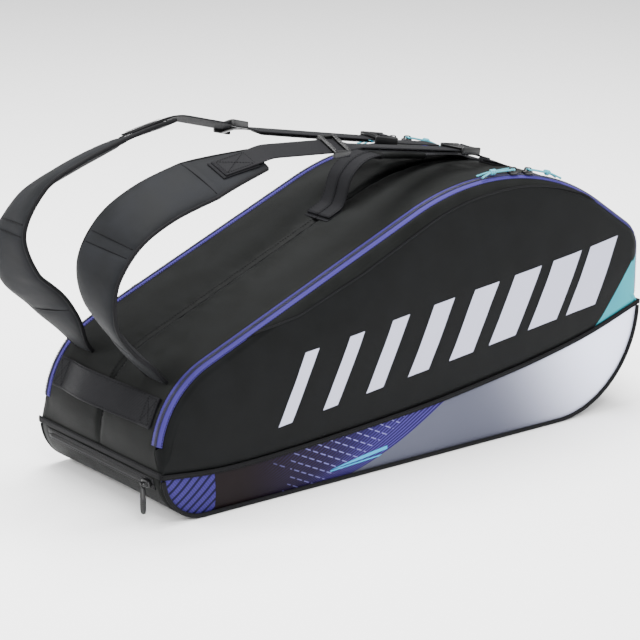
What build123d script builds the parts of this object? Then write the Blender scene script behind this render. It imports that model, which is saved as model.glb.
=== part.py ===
# Racket tournament bag: a wedge-shaped carrier with two zipped racket compartments, a pair of
# padded shoulder straps, a two-webbing carry handle and a grab handle on the narrow end.
#
# Millimetres.  +X runs along the bag from the narrow end to the wide end, -Y is the near side
# and +Z is up.  The origin is the centre of the flat bottom, which rests at Z = 0.

from build123d import *
from math import asin, atan2, cos, degrees, hypot, radians, sin
import os

os.makedirs("parts", exist_ok=True)

# ---- driving dimensions -------------------------------------------------------------------

narrow_end = -382.0
wide_end = 386.0
half_width = 130.0

# Side outline: five arcs, each a centre (x, z) and a radius, joined by straight runs.
narrow_top_radius = 115.0
narrow_top_centre = (narrow_end + narrow_top_radius, 78.0)
crown_radius = 330.0
crown_centre = (129.0, 12.0)
wide_top_radius = 40.0
wide_top_centre = (wide_end - wide_top_radius, 215.0)
wide_bottom_radius = 140.0
wide_bottom_centre = (wide_end - wide_bottom_radius, wide_bottom_radius)
narrow_bottom_radius = 60.0
narrow_bottom_centre = (narrow_end + narrow_bottom_radius, narrow_bottom_radius)

# Seam above the lower band, the fold line that each side opens along, and the facing's seam.
seam_at_narrow_end = 60.0
seam_at_wide_end = 141.0
lower_seam = [(-460, 76), (narrow_end, seam_at_narrow_end), (-290, 52), (-160, 56), (0, 67),
              (117, 81), (210, 95), (300, 114), (wide_end, seam_at_wide_end), (460, 170)]
fold_at_narrow_end = 91.0
fold_at_wide_end = 150.0
facing_seam = [(-275, 201), (-190, 219), (-94, 254), (17, 303), (66, 319), (118, 326),
               (163, 327), (227, 318), (265, 305), (325, 284)]

skin = 5.0
shell = 4.0
side_inner = half_width - skin
zip_line = 118.0
zip_gap = 0.15
tape_width = 11.0
tape_thickness = 0.8
coil_height = 2.2
coil_width = 1.7
fold_gap = 0.4

webbing_width = 30.0
webbing_thickness = 2.0
strap_lane = 77.0
lock_lane = 50.0
pad_width = 75.0
pad_thickness = 13.0
strap_roll = 22.0
handle_lane = 11.5
handle_webbing_width = 22.0


def tilt_between(centre_a, radius_a, centre_b, radius_b):
    # slope of the straight run that touches two arcs from above, in degrees
    run = centre_b[0] - centre_a[0]
    rise = centre_b[1] - centre_a[1]
    return degrees(atan2(rise, run) + asin((radius_b - radius_a) / hypot(run, rise)))


top_rise = tilt_between(narrow_top_centre, narrow_top_radius, crown_centre, crown_radius)
top_fall = -tilt_between(crown_centre, crown_radius, wide_top_centre, wide_top_radius)


# ---- helpers ------------------------------------------------------------------------------

def write(piece, label):
    piece.label = label
    export_step(piece, f"parts/{label}.step")


def write_pair(near_piece, label):
    write(near_piece, f"{label}_near")
    write(mirror(near_piece, about=Plane.XZ), f"{label}_far")


def side_plane(y):
    # sketch plane across Y: its own x and y are the bag's X and Z
    return Plane(origin=(0, y, 0), x_dir=(1, 0, 0), z_dir=(0, -1, 0))


def outline(inset, mode=Mode.ADD):
    # moving the outline inwards only shortens its radii, because it has no sharp corner
    with BuildLine() as edges:
        heel = CenterArc(narrow_top_centre, narrow_top_radius - inset, 180, top_rise - 90)
        crown = CenterArc(crown_centre, crown_radius - inset, 90 + top_rise, -top_rise - top_fall)
        shoulder = CenterArc(wide_top_centre, wide_top_radius - inset, 90 - top_fall, top_fall - 90)
        wide_foot = CenterArc(wide_bottom_centre, wide_bottom_radius - inset, 0, -90)
        narrow_foot = CenterArc(narrow_bottom_centre, narrow_bottom_radius - inset, -90, -90)
        Line(heel @ 1, crown @ 0)
        Line(crown @ 1, shoulder @ 0)
        Line(shoulder @ 1, wide_foot @ 0)
        Line(wide_foot @ 1, narrow_foot @ 0)
        Line(narrow_foot @ 1, heel @ 0)
    make_face(edges.edges(), mode=mode)


def outline_band(outer, inner):
    outline(outer)
    outline(inner, mode=Mode.SUBTRACT)


def above(points, mode=Mode.INTERSECT):
    # everything above a smooth line through the points
    with BuildLine() as edges:
        edge = Spline(*points)
        Polyline(edge @ 1, (points[-1][0], 500), (points[0][0], 500), edge @ 0)
    make_face(edges.edges(), mode=mode)


def below(points, mode=Mode.INTERSECT):
    with BuildLine() as edges:
        edge = Spline(*points)
        Polyline(edge @ 1, (points[-1][0], -60), (points[0][0], -60), edge @ 0)
    make_face(edges.edges(), mode=mode)


def fold_side(top, gap, mode=Mode.INTERSECT):
    # everything above the fold line (top = 500) or below it (top = -60)
    reach = 80
    slope = (fold_at_wide_end - fold_at_narrow_end) / (wide_end - narrow_end)
    left = (narrow_end - reach, fold_at_narrow_end - reach * slope + gap)
    right = (wide_end + reach, fold_at_wide_end + reach * slope + gap)
    with BuildLine() as edges:
        Polyline(left, right, (right[0], top), (left[0], top), close=True)
    make_face(edges.edges(), mode=mode)


def level_slab(x_low, x_high, z_low, z_high, mode=Mode.INTERSECT):
    with Locations(((x_low + x_high) / 2, (z_low + z_high) / 2)):
        Rectangle(x_high - x_low, z_high - z_low, mode=mode)


def rod(start, end, radius):
    along = Vector(*end) - Vector(*start)
    with BuildSketch(Plane(origin=start, z_dir=along)) as profile:
        Circle(radius)
    extrude(profile.sketch, amount=along.length)


def crown_plane(turn, lane, height=0.0):
    # plane lying on the crown arc: x follows the zip, y is the bag's Y, z leaves the surface
    reach = crown_radius + height
    place = (crown_centre[0] + reach * sin(radians(turn)), lane,
             crown_centre[1] + reach * cos(radians(turn)))
    return Plane(origin=place, x_dir=(cos(radians(turn)), 0, -sin(radians(turn))),
                 z_dir=(sin(radians(turn)), 0, cos(radians(turn))))


def crown_turn(x):
    return degrees(asin((x - crown_centre[0]) / crown_radius))


# ---- shell: bottom, lower band, gusset ----------------------------------------------------

with BuildPart() as base_panel:
    with BuildSketch(side_plane(side_inner)):
        outline_band(0, shell)
        below(lower_seam)
    extrude(amount=2 * side_inner)
write(base_panel.part, "base_panel")

board_thickness = 4.0
with BuildPart() as base_board:
    with BuildSketch(Plane.XY.offset(shell)):
        with Locations((-38, 0)):
            RectangleRounded(530, 2 * side_inner - 14, 20)
    extrude(amount=board_thickness)
write(base_board.part, "base_board")

with BuildPart() as lower_band:
    with BuildSketch(side_plane(-half_width)):
        outline(0)
        below(lower_seam)
    extrude(amount=-skin)
write_pair(lower_band.part, "lower_band")

# The strip of side panel between the band and the fold line stays with the bag.
with BuildPart() as side_strip:
    with BuildSketch(side_plane(-half_width)):
        outline(0)
        above(lower_seam)
        fold_side(-60, 0)
    extrude(amount=-skin)
    with BuildSketch(side_plane(-side_inner)):
        outline_band(0, shell)
        above(lower_seam)
        fold_side(-60, 0)
    extrude(amount=-(side_inner - zip_line + zip_gap))
write_pair(side_strip.part, "side_strip")

with BuildPart() as gusset:
    with BuildSketch(side_plane(-zip_line + zip_gap)):
        outline_band(0, shell)
        above(lower_seam)
    extrude(amount=-(zip_line - zip_gap))
write_pair(gusset.part, "gusset")

divider_thickness = 4.0
with BuildPart() as divider:
    with BuildSketch(side_plane(divider_thickness / 2)):
        outline(shell)
        level_slab(-330, 330, shell + board_thickness, 400)
    extrude(amount=divider_thickness)
write(divider.part, "divider")

# ---- bindings and piping ------------------------------------------------------------------

binding_width = 6.0
binding_thickness = 2.0
with BuildPart() as side_binding:
    with BuildSketch(side_plane(-half_width - binding_thickness)):
        outline(0)
        above([(x, z - binding_width / 2) for x, z in lower_seam])
        below([(x, z + binding_width / 2) for x, z in lower_seam])
    extrude(amount=-binding_thickness)
write_pair(side_binding.part, "side_binding")

with BuildPart() as narrow_end_flap:
    with BuildSketch(side_plane(half_width)):
        outline_band(-binding_thickness, 0)
        level_slab(-400, -300, seam_at_narrow_end - 2, seam_at_narrow_end + binding_width)
    extrude(amount=2 * half_width)
write(narrow_end_flap.part, "narrow_end_flap")

with BuildPart() as wide_end_binding:
    with BuildSketch(side_plane(half_width)):
        outline_band(-binding_thickness, 0)
        level_slab(300, 400, seam_at_wide_end - binding_width / 2,
                   seam_at_wide_end + binding_width / 2)
    extrude(amount=2 * half_width)
write(wide_end_binding.part, "wide_end_binding")

piping_radius = 2.5
piping_stop = 5.0
with BuildPart() as piping:
    with BuildLine(side_plane(-half_width - piping_radius)):
        foot = CenterArc(narrow_bottom_centre, narrow_bottom_radius - piping_radius, 180 + piping_stop,
                         90 - piping_stop)
        heel = CenterArc(wide_bottom_centre, wide_bottom_radius - piping_radius, -90,
                         90 - piping_stop)
        Line(foot @ 1, heel @ 0)
    with BuildSketch(Plane(origin=foot @ 0, z_dir=foot % 0)):
        Circle(piping_radius)
    sweep()
write_pair(piping.part, "piping")

# ---- side doors ---------------------------------------------------------------------------

with BuildPart() as side_panel:
    with BuildSketch(side_plane(-half_width)):
        outline(0)
        fold_side(500, fold_gap)
        above(facing_seam, mode=Mode.SUBTRACT)
    extrude(amount=-skin)
write_pair(side_panel.part, "side_panel")

# The facing is a crescent on the side and a rim that turns in to the zip.
with BuildPart() as facing:
    with BuildSketch(side_plane(-half_width)):
        outline(0)
        above(facing_seam)
    extrude(amount=-skin)
    with BuildSketch(side_plane(-side_inner)):
        outline_band(0, shell)
        fold_side(500, fold_gap)
    extrude(amount=-(side_inner - zip_line - zip_gap))
write_pair(facing.part, "facing")

# ---- zips ---------------------------------------------------------------------------------

with BuildPart() as door_tape:
    with BuildSketch(side_plane(-zip_line - tape_width)):
        outline_band(-tape_thickness, 0)
        fold_side(500, fold_gap)
    extrude(amount=-(tape_width - zip_gap))
    with BuildSketch(side_plane(-zip_line - coil_width)):
        outline_band(-coil_height, -tape_thickness)
        fold_side(500, fold_gap)
    extrude(amount=-(coil_width - zip_gap))
write_pair(door_tape.part, "door_tape")

with BuildPart() as gusset_tape:
    with BuildSketch(side_plane(-zip_line + zip_gap)):
        outline_band(-tape_thickness, 0)
        fold_side(500, fold_gap)
    extrude(amount=-(tape_width - zip_gap))
    with BuildSketch(side_plane(-zip_line + zip_gap)):
        outline_band(-coil_height, -tape_thickness)
        fold_side(500, fold_gap)
    extrude(amount=-(coil_width - zip_gap))
write_pair(gusset_tape.part, "gusset_tape")

slider_length = 15.0
slider_width = 10.0
slider_floor = 2.8
slider_roof = 6.0
bridge_roof = 10.2
bridge_hole = 3.4
pull_height = slider_roof + 1.6
pull_radius = 1.2
pull_spread = 3.0
knot_radius = 3.9
knot_start = 30.0
knot_end = 38.5
pull_length = 55.0


def slider_body(place):
    # slider plate over the teeth, with the arched bridge that the pull is threaded through
    with BuildSketch(place.offset(slider_floor)) as profile:
        RectangleRounded(slider_length, slider_width, 3)
    extrude(profile.sketch, amount=slider_roof - slider_floor)
    bridge = Plane(origin=place.origin - place.y_dir * 1.5, x_dir=place.x_dir, z_dir=-place.y_dir)
    with BuildSketch(bridge) as profile:
        with Locations((0, (slider_roof + bridge_roof) / 2)):
            Rectangle(11, bridge_roof - slider_roof)
        with Locations((0, slider_roof + bridge_hole / 2)):
            Rectangle(6.4, bridge_hole, mode=Mode.SUBTRACT)
    extrude(profile.sketch, amount=-3)


def cord_pull(place, way):
    # a loop of cord through the bridge, its two strands knotted, then two short tails
    def spot(along, across, up):
        return tuple(place.from_local_coords((way * along, across, up)))

    reach = pull_spread + pull_radius + 0.3
    rod(spot(0, -reach, pull_height), spot(0, reach, pull_height), pull_radius)
    rod(spot(knot_start, 0, 5.6), spot(knot_end, 0, 4.9), knot_radius)
    for across in (-pull_spread, pull_spread):
        rod(spot(0.2, across, pull_height), spot(knot_start + 3, across / 2, 5.4),
            pull_radius * 0.95)
        rod(spot(knot_end - 2.5, across / 3, 4.6), spot(pull_length, across * 1.7, -0.6),
            pull_radius)


for slot, slider_x, way in (("left", 163.0, -1), ("right", 188.0, 1)):
    saddle = crown_plane(crown_turn(slider_x), -zip_line)
    with BuildPart() as slider:
        slider_body(saddle)
    write_pair(slider.part, f"slider_{slot}")
    with BuildPart() as pull:
        cord_pull(saddle, way)
    write_pair(pull.part, f"pull_{slot}")

# End zip across the narrow end, just under the flap.
end_zip_height = 48.0
end_zip_reach = 114.0
end_slider_lane = -104.0
with BuildPart() as end_zip:
    with BuildSketch(side_plane(end_zip_reach)):
        outline_band(-tape_thickness, 0)
        level_slab(-400, -300, end_zip_height - 10, end_zip_height + 9.5)
    extrude(amount=2 * end_zip_reach)
    with BuildSketch(side_plane(end_zip_reach - 4)):
        outline_band(-coil_height, -tape_thickness)
        level_slab(-400, -300, end_zip_height - coil_width, end_zip_height + coil_width)
    extrude(amount=2 * (end_zip_reach - 4))
write(end_zip.part, "end_zip")

droop = degrees(asin((narrow_bottom_radius - end_zip_height) / narrow_bottom_radius))
end_face = Plane(
    origin=(narrow_bottom_centre[0] - narrow_bottom_radius * cos(radians(droop)), end_slider_lane,
            end_zip_height),
    x_dir=(0, -1, 0), z_dir=(-cos(radians(droop)), 0, -sin(radians(droop))))
with BuildPart() as end_slider:
    slider_body(end_face)
write(end_slider.part, "end_slider")

puller_length = 33.0
puller_width = 9.0
puller_thickness = 3.2
ring_outer = 3.4
ring_inner = 2.0
ring_half = 1.1
bridge_bar = (slider_roof + bridge_hole + bridge_roof) / 2
eye = end_face.from_local_coords((0, 0, bridge_bar))
with BuildPart() as end_puller:
    with BuildSketch(side_plane(eye.Y - ring_half)):
        with Locations((eye.X, eye.Z)):
            Circle(ring_outer)
            Circle(ring_inner, mode=Mode.SUBTRACT)
    extrude(amount=-2 * ring_half)
    with BuildSketch(Plane(origin=(eye.X, eye.Y, eye.Z - 2.7), x_dir=(0, 1, 0), z_dir=(-1, 0, 0))):
        with Locations((0, puller_length / 2)):
            RectangleRounded(puller_width, puller_length, 2.5)
    extrude(amount=puller_thickness / 2, both=True)
write(end_puller.part, "end_puller")

# ---- grab handle on the narrow end --------------------------------------------------------

grab_lean = 26.0
grab_width = 38.0
grab_bow = 26.0
grab_reach = 104.0
grab_patch = 22.0
grab_thickness = 3.0
lean_out = Vector(-cos(radians(grab_lean)), 0, sin(radians(grab_lean)))
lean_up = Vector(sin(radians(grab_lean)), 0, cos(radians(grab_lean)))
grab_foot = Vector(narrow_top_centre[0], 0, narrow_top_centre[1]) + lean_out * narrow_top_radius
grab_plane = Plane(origin=grab_foot - lean_up * (grab_width / 2), x_dir=(0, 1, 0), z_dir=lean_up)
out_sign = 1 if grab_plane.y_dir.dot(lean_out) > 0 else -1


def grab_profile(gap_scale):
    # half-thickness offset path of the webbing, bowed away from the end
    return [(-grab_reach + grab_patch, gap_scale), (0, grab_bow + gap_scale),
            (grab_reach - grab_patch, gap_scale)]


with BuildPart() as grab_handle:
    with BuildSketch(grab_plane):
        with BuildLine():
            lower = Spline(*[(y, out_sign * n) for y, n in grab_profile(0.2)],
                           tangents=((1, 0.25 * out_sign), (1, -0.25 * out_sign)))
            upper = Spline(*[(y, out_sign * n) for y, n in grab_profile(0.2 + grab_thickness)],
                           tangents=((1, 0.25 * out_sign), (1, -0.25 * out_sign)))
            Polyline(lower @ 1, (grab_reach, 0.2 * out_sign),
                     (grab_reach, (0.2 + grab_thickness) * out_sign), upper @ 1)
            Polyline(lower @ 0, (-grab_reach, 0.2 * out_sign),
                     (-grab_reach, (0.2 + grab_thickness) * out_sign), upper @ 0)
        make_face()
    extrude(amount=grab_width)
write(grab_handle.part, "grab_handle")

# ---- carry handle -------------------------------------------------------------------------

handle_path = [(-30, 313), (-17, 344), (4, 361), (36, 364), (90, 356), (150, 351)]
with BuildPart() as carry_webbing:
    with BuildSketch(side_plane(-handle_lane - handle_webbing_width / 2)):
        with BuildLine():
            lower = Spline(*handle_path)
            upper = Spline(*[(x - (1.4 if x < 0 else 0), z + 2.4 - (1.2 if x < -20 else 0))
                             for x, z in handle_path])
            Line(lower @ 0, upper @ 0)
            Line(lower @ 1, upper @ 1)
        make_face()
    extrude(amount=-handle_webbing_width)
write_pair(carry_webbing.part, "carry_webbing")

wrap_half_width = 25.5
wrap_thickness = 2.5
with BuildPart() as handle_wrap:
    with BuildSketch(side_plane(wrap_half_width)):
        with BuildLine():
            under = Spline((30, 360.4), (62, 356.6), (98, 351.0))
            over = Spline((31, 371), (64, 367.6), (100, 361.6))
            Line(under @ 0, over @ 0)
            Line(under @ 1, over @ 1)
        make_face()
    extrude(amount=2 * wrap_half_width)
    with BuildSketch(side_plane(wrap_half_width - wrap_thickness)):
        with BuildLine():
            floor = Spline((20, 362.9), (62, 359.1), (110, 352.0))
            roof = Spline((20, 368.6), (62, 364.8), (110, 358.4))
            Line(floor @ 0, roof @ 0)
            Line(floor @ 1, roof @ 1)
        make_face()
    extrude(amount=2 * (wrap_half_width - wrap_thickness), mode=Mode.SUBTRACT)
write(handle_wrap.part, "handle_wrap")

patch_length = 28.0
patch_thickness = 2.2
with BuildPart() as handle_patches:
    for patch_x in (-44, 186):
        if patch_x < 0:
            slope = radians(top_rise)
            start = Vector(narrow_top_centre[0] - narrow_top_radius * sin(slope), 0,
                           narrow_top_centre[1] + narrow_top_radius * cos(slope))
            height = start.Z + (patch_x - start.X) * sin(slope) / cos(slope)
            seat = Plane(origin=(patch_x, 0, height), x_dir=(cos(slope), 0, sin(slope)),
                         z_dir=(-sin(slope), 0, cos(slope)))
        else:
            seat = crown_plane(crown_turn(patch_x), 0, 0.1)
        with BuildSketch(seat):
            with Locations((0, -handle_lane), (0, handle_lane)):
                Rectangle(patch_length, handle_webbing_width)
        extrude(amount=patch_thickness)
write(handle_patches.part, "handle_patches")

# ---- shoulder straps ----------------------------------------------------------------------

lock_length = 34.0
lock_width = 40.0
glide_length = 25.0
glide_width = 40.0
rail = 4.0
bar = 3.0
play = 0.5
link_stop = (174.0, 351.0)


def along_plane(start, end):
    # origin at start, x along the run, y across it and level, z out of the webbing's face
    run = (Vector(*end) - Vector(*start)).normalized()
    across = Vector(0, 0, 1).cross(run).normalized()
    return Plane(origin=start, x_dir=run, z_dir=run.cross(across))


def slab(place, x_low, x_high, y_half, z_low, z_high):
    with BuildSketch(place.offset(z_low)) as profile:
        with Locations(((x_low + x_high) / 2, 0)):
            Rectangle(x_high - x_low, 2 * y_half)
    extrude(profile.sketch, amount=z_high - z_low)


def rails(place, x_low, x_high, z_low, z_high, width):
    with BuildSketch(place.offset(z_low)) as profile:
        with Locations(*[((x_low + x_high) / 2, lane * (width - rail) / 2) for lane in (-1, 1)]):
            Rectangle(x_high - x_low, rail)
    extrude(profile.sketch, amount=z_high - z_low)


def build_strap(side, sign, spine, glide, lock):
    # spine: pad centre line (x, z); glide and lock: centres (x, z) of the two buckles
    lean = Vector(0, -sign * cos(radians(strap_roll)), sin(radians(strap_roll)))
    pad_edge = sign * (strap_lane + pad_width / 2 * cos(radians(strap_roll)))
    drop = pad_width / 2 * sin(radians(strap_roll))
    with BuildPart() as shoulder_pad:
        with BuildSketch(side_plane(pad_edge)):
            with BuildLine():
                Spline(*[(x, z - drop) for x, z in spine])
            trace(line_width=pad_thickness)
        extrude(amount=pad_width, dir=lean)
    write(shoulder_pad.part, f"shoulder_pad_{side}")

    end_x, end_z = spine[-1]
    seat_rise = (pad_thickness + webbing_thickness) / 2 + 1.6
    pad_end = (end_x, sign * strap_lane, end_z + seat_rise)
    glide_centre = (glide[0], sign * strap_lane, glide[1])
    lock_centre = (lock[0], sign * lock_lane, lock[1])
    first = along_plane(pad_end, glide_centre)
    first_length = (Vector(*glide_centre) - Vector(*pad_end)).length
    lean_first = Plane(origin=pad_end, x_dir=first.x_dir,
                       z_dir=first.x_dir.cross(lean * -sign).normalized())
    half = webbing_thickness / 2
    with BuildPart() as strap_webbing:
        slab(lean_first, -1, first_length + glide_length / 2 + 4, webbing_width / 2, -half, half)
        knee = tuple(lean_first.from_local_coords((first_length + glide_length / 2 + 2, 0, 0)))
        second = along_plane(knee, lock_centre)
        second_length = (Vector(*lock_centre) - Vector(*knee)).length
        slab(second, 0, second_length + 4, webbing_width / 2, -half, half)
    write(strap_webbing.part, f"strap_webbing_{side}")

    with BuildPart() as strap_tail:
        slab(second, 24, second_length - lock_length / 2 - 2, webbing_width / 2, -half - 3.2,
             -half - 1.4)
    write(strap_tail.part, f"strap_tail_{side}")

    # The pad's end carries the webbing on a stitched patch.
    patch_start = (spine[-2][0] + 12, sign * strap_lane, spine[-2][1] + seat_rise)
    patch_run = along_plane(patch_start, pad_end)
    patch_plane = Plane(origin=patch_start, x_dir=patch_run.x_dir,
                        z_dir=patch_run.x_dir.cross(lean * -sign).normalized())
    patch_span = (Vector(*pad_end) - Vector(*patch_start)).length
    with BuildPart() as pad_patch:
        slab(patch_plane, 0, patch_span - 5, webbing_width / 2, -half + 1.2, half + 1.2)
    write(pad_patch.part, f"pad_patch_{side}")

    glide_plane = Plane(origin=lean_first.from_local_coords((first_length, 0, 0)),
                        x_dir=lean_first.x_dir, z_dir=lean_first.z_dir)
    reach = glide_length / 2
    with BuildPart() as tri_glide:
        rails(glide_plane, -reach, reach, -half - play - bar, half + play + bar, glide_width)
        slab(glide_plane, -reach, -reach + 5, glide_width / 2, half + play, half + play + bar)
        slab(glide_plane, reach - 5, reach, glide_width / 2, half + play, half + play + bar)
        slab(glide_plane, -2.5, 2.5, glide_width / 2, -half - play - bar, -half - play)
    write(tri_glide.part, f"tri_glide_{side}")

    lock_plane = Plane(origin=lock_centre, x_dir=second.x_dir, z_dir=second.z_dir)
    reach = lock_length / 2
    with BuildPart() as ladder_lock:
        rails(lock_plane, -reach, reach, -half - play - bar, half + play + bar + 1, lock_width)
        slab(lock_plane, -reach, -reach + 9, lock_width / 2, half + play, half + play + bar + 1)
        slab(lock_plane, -reach + 12, -reach + 16, lock_width / 2, -half - play - bar,
             -half - play)
        slab(lock_plane, reach - 5, reach, lock_width / 2, -half, half + play + bar)
    write(ladder_lock.part, f"ladder_lock_{side}")

    link_start = tuple(lock_plane.from_local_coords((reach - 4, 0, -half - webbing_thickness - 0.3)))
    link_end = (link_stop[0], sign * lock_lane, link_stop[1])
    link_plane = along_plane(link_start, link_end)
    link_span = (Vector(*link_end) - Vector(*link_start)).length
    with BuildPart() as lock_webbing:
        slab(link_plane, 0, link_span, webbing_width / 2, -webbing_thickness, 0)
    write(lock_webbing.part, f"lock_webbing_{side}")


near_spine = [(-366, 188), (-402, 219), (-426, 258), (-426, 303), (-398, 343), (-352, 369),
              (-293, 386), (-253, 394), (-205, 401)]
far_spine = [(-364, 190), (-400, 226), (-438, 266), (-449, 315), (-418, 361), (-370, 384),
             (-318, 401), (-270, 413), (-225, 421)]
build_strap("near", -1, near_spine, (-91, 403), (135, 365))
build_strap("far", 1, far_spine, (-131, 405), (84, 368))

root_angle = 45.0
root_length = 16.0
root_width = 40.0
root_thickness = 5.0
root_out = Vector(-sin(radians(root_angle)), 0, cos(radians(root_angle)))
root_foot = Vector(narrow_top_centre[0], -strap_lane, narrow_top_centre[1])
root_foot = root_foot + root_out * (narrow_top_radius + 0.1)
with BuildPart() as strap_root:
    with BuildSketch(Plane(origin=root_foot, x_dir=(0, 1, 0), z_dir=root_out)):
        Rectangle(root_width, root_thickness)
    extrude(amount=root_length, taper=6)
write_pair(strap_root.part, "strap_root")

anchor_length = 34.0
anchor_thickness = 7.0
with BuildPart() as strap_anchor:
    with BuildSketch(crown_plane(crown_turn(196), -lock_lane, 0.4)):
        RectangleRounded(anchor_length, webbing_width, 4)
    extrude(amount=anchor_thickness, taper=12)
write_pair(strap_anchor.part, "strap_anchor")
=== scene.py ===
import bpy
from math import asin, atan2, cos, degrees, hypot, pi, radians, sin
import numpy as np
from mathutils import Matrix, Vector, noise


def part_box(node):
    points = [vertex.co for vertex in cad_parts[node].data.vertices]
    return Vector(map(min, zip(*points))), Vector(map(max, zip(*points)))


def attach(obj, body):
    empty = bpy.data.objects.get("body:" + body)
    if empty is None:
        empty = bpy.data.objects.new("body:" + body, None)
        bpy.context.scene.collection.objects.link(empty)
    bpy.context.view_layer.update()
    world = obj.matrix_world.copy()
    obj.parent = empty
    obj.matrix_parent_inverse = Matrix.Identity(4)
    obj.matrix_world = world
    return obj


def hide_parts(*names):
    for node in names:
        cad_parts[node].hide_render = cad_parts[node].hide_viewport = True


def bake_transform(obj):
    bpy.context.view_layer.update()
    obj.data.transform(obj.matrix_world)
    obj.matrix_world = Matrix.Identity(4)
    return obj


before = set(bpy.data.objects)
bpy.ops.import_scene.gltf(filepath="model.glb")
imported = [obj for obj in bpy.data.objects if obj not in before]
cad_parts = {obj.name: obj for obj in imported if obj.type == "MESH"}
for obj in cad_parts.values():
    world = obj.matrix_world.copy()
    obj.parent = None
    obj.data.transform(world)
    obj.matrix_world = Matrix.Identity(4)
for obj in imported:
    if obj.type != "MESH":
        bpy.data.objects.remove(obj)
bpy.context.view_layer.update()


def linear(red, green, blue):
    # screen colour 0-255 to the linear values that shaders take
    def one(value):
        value = value / 255
        return value / 12.92 if value <= 0.04045 else ((value + 0.055) / 1.055) ** 2.4
    return (one(red), one(green), one(blue), 1.0)


class Value:
    # a shader socket that Python operators turn into Math nodes
    def __init__(self, paint, socket):
        self.paint = paint
        self.socket = socket

    def math(self, operation, *others):
        inputs = {place: other for place, other in enumerate((self,) + others)}
        return self.paint.node("ShaderNodeMath", {"operation": operation}, inputs)

    def __rsub__(self, other):
        return self.paint.node("ShaderNodeMath", {"operation": "SUBTRACT"}, {0: other, 1: self})

    def sine(self):
        return self.math("SINE")

    def least(self, other):
        return self.math("MINIMUM", other)

    def most(self, other):
        return self.math("MAXIMUM", other)

    def repeat(self, period):
        # 0 to 1 sawtooth
        return (self / period).math("FRACT")

    def ramp(self, low, high):
        # 0 below low, 1 above high, smooth between
        return self.paint.node("ShaderNodeMapRange", {"interpolation_type": "SMOOTHSTEP"},
            {"Value": self, "From Min": low, "From Max": high})


for symbol, operation in (("add", "ADD"), ("radd", "ADD"), ("sub", "SUBTRACT"), ("mul", "MULTIPLY"),
        ("rmul", "MULTIPLY"), ("truediv", "DIVIDE"), ("gt", "GREATER_THAN"), ("lt", "LESS_THAN")):
    setattr(Value, f"__{symbol}__", lambda self, other, operation=operation: self.math(operation, other))


class Paint:
    # one material; its pattern is laid out in metres by the piece's own flat UV map
    def __init__(self, name, roughness=0.6, **fixed):
        self.material = bpy.data.materials.new(name)
        self.material.use_nodes = True
        self.tree = self.material.node_tree
        self.tree.nodes.clear()
        self.out = self.tree.nodes.new("ShaderNodeOutputMaterial")
        self.shader = self.tree.nodes.new("ShaderNodeBsdfPrincipled")
        self.tree.links.new(self.shader.outputs[0], self.out.inputs[0])
        self.shader.inputs["Roughness"].default_value = roughness
        for name, value in fixed.items():
            self.shader.inputs[name.replace("_", " ")].default_value = value
        self.flat = self.node("ShaderNodeUVMap", {"uv_map": "flat"})
        self.u = self.node("ShaderNodeSeparateXYZ", None, {0: self.flat})
        self.v = self.node("ShaderNodeSeparateXYZ", None, {0: self.flat}, output=1)

    def node(self, kind, settings=None, inputs=None, output=0):
        made = self.tree.nodes.new(kind)
        for name, value in (settings or {}).items():
            setattr(made, name, value)
        for name, value in (inputs or {}).items():
            if isinstance(value, Value):
                self.tree.links.new(value.socket, made.inputs[name])
            else:
                made.inputs[name].default_value = value
        return Value(self, made.outputs[output])

    def mix(self, share, first, second):
        return self.node("ShaderNodeMix", {"data_type": "RGBA"}, {0: share, 6: first, 7: second}, output=2)

    def noise(self, scale, detail=3.0, roughness=0.5):
        return self.node("ShaderNodeTexNoise", None, {"Vector": self.flat, "Scale": scale, "Detail": detail,
            "Roughness": roughness})

    def colour(self, value):
        self.put("Base Color", value)

    def put(self, name, value):
        if isinstance(value, Value):
            self.tree.links.new(value.socket, self.shader.inputs[name])
        else:
            self.shader.inputs[name].default_value = value

    def relief(self, height, distance=0.0005, strength=1.0):
        bump = self.node("ShaderNodeBump", None, {"Height": height, "Distance": distance,
            "Strength": strength})
        self.put("Normal", bump)

    def plain(self, pitch):
        # over-and-under weave, 0 to 1
        return (self.u * (2 * pi / pitch)).sine() * (self.v * (2 * pi / pitch)).sine() * 0.5 + 0.5


weave = {"cloth": 0.0011, "webRib": 0.0016, "tapeRib": 0.0007, "mesh": 0.0032}
ink = {"black": (12, 13, 12), "blackLight": (24, 25, 25), "panelBlack": (9, 10, 10),
    "panelLight": (17, 18, 19), "violet": (42, 35, 96), "violetLight": (64, 54, 122),
    "violetDeep": (27, 21, 66), "navy": (12, 10, 38), "teal": (40, 124, 138), "tealLight": (56, 142, 152),
    # the two pearl inks are the painted shine and the painted shade of the pearl cloth
    "pearl": (228, 232, 254), "silver": (180, 181, 200), "pearlPaintedShade": (76, 78, 91), "brown": (17, 11, 13),
    "cyan": (38, 150, 192), "lining": (46, 46, 52), "cord": (26, 160, 176), "cordDark": (10, 96, 116),
    "webbing": (14, 14, 15), "webbingLight": (30, 30, 33), "plastic": (8, 8, 9), "thread": (8, 8, 9),}
ink = {name: linear(*tone) for name, tone in ink.items()}


def clothPaint(name, dark, light, pitch=weave["cloth"], roughness=0.55, crease=0.35):
    paint = Paint(name, roughness=roughness, Sheen_Weight=0.015, Sheen_Roughness=0.4,
        Specular_IOR_Level=0.05)
    tone = paint.noise(28, 4).ramp(0.3, 0.75)
    threads = paint.plain(pitch)
    paint.colour(paint.mix(tone * 0.5 + threads * 0.25, dark, light))
    paint.put("Roughness", tone * 0.12 + (roughness - 0.06))
    folds = paint.noise(14, 3, 0.45) * crease
    paint.relief(threads * 0.12 + folds * 2.2, 0.0012, 0.55)
    return paint


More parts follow.
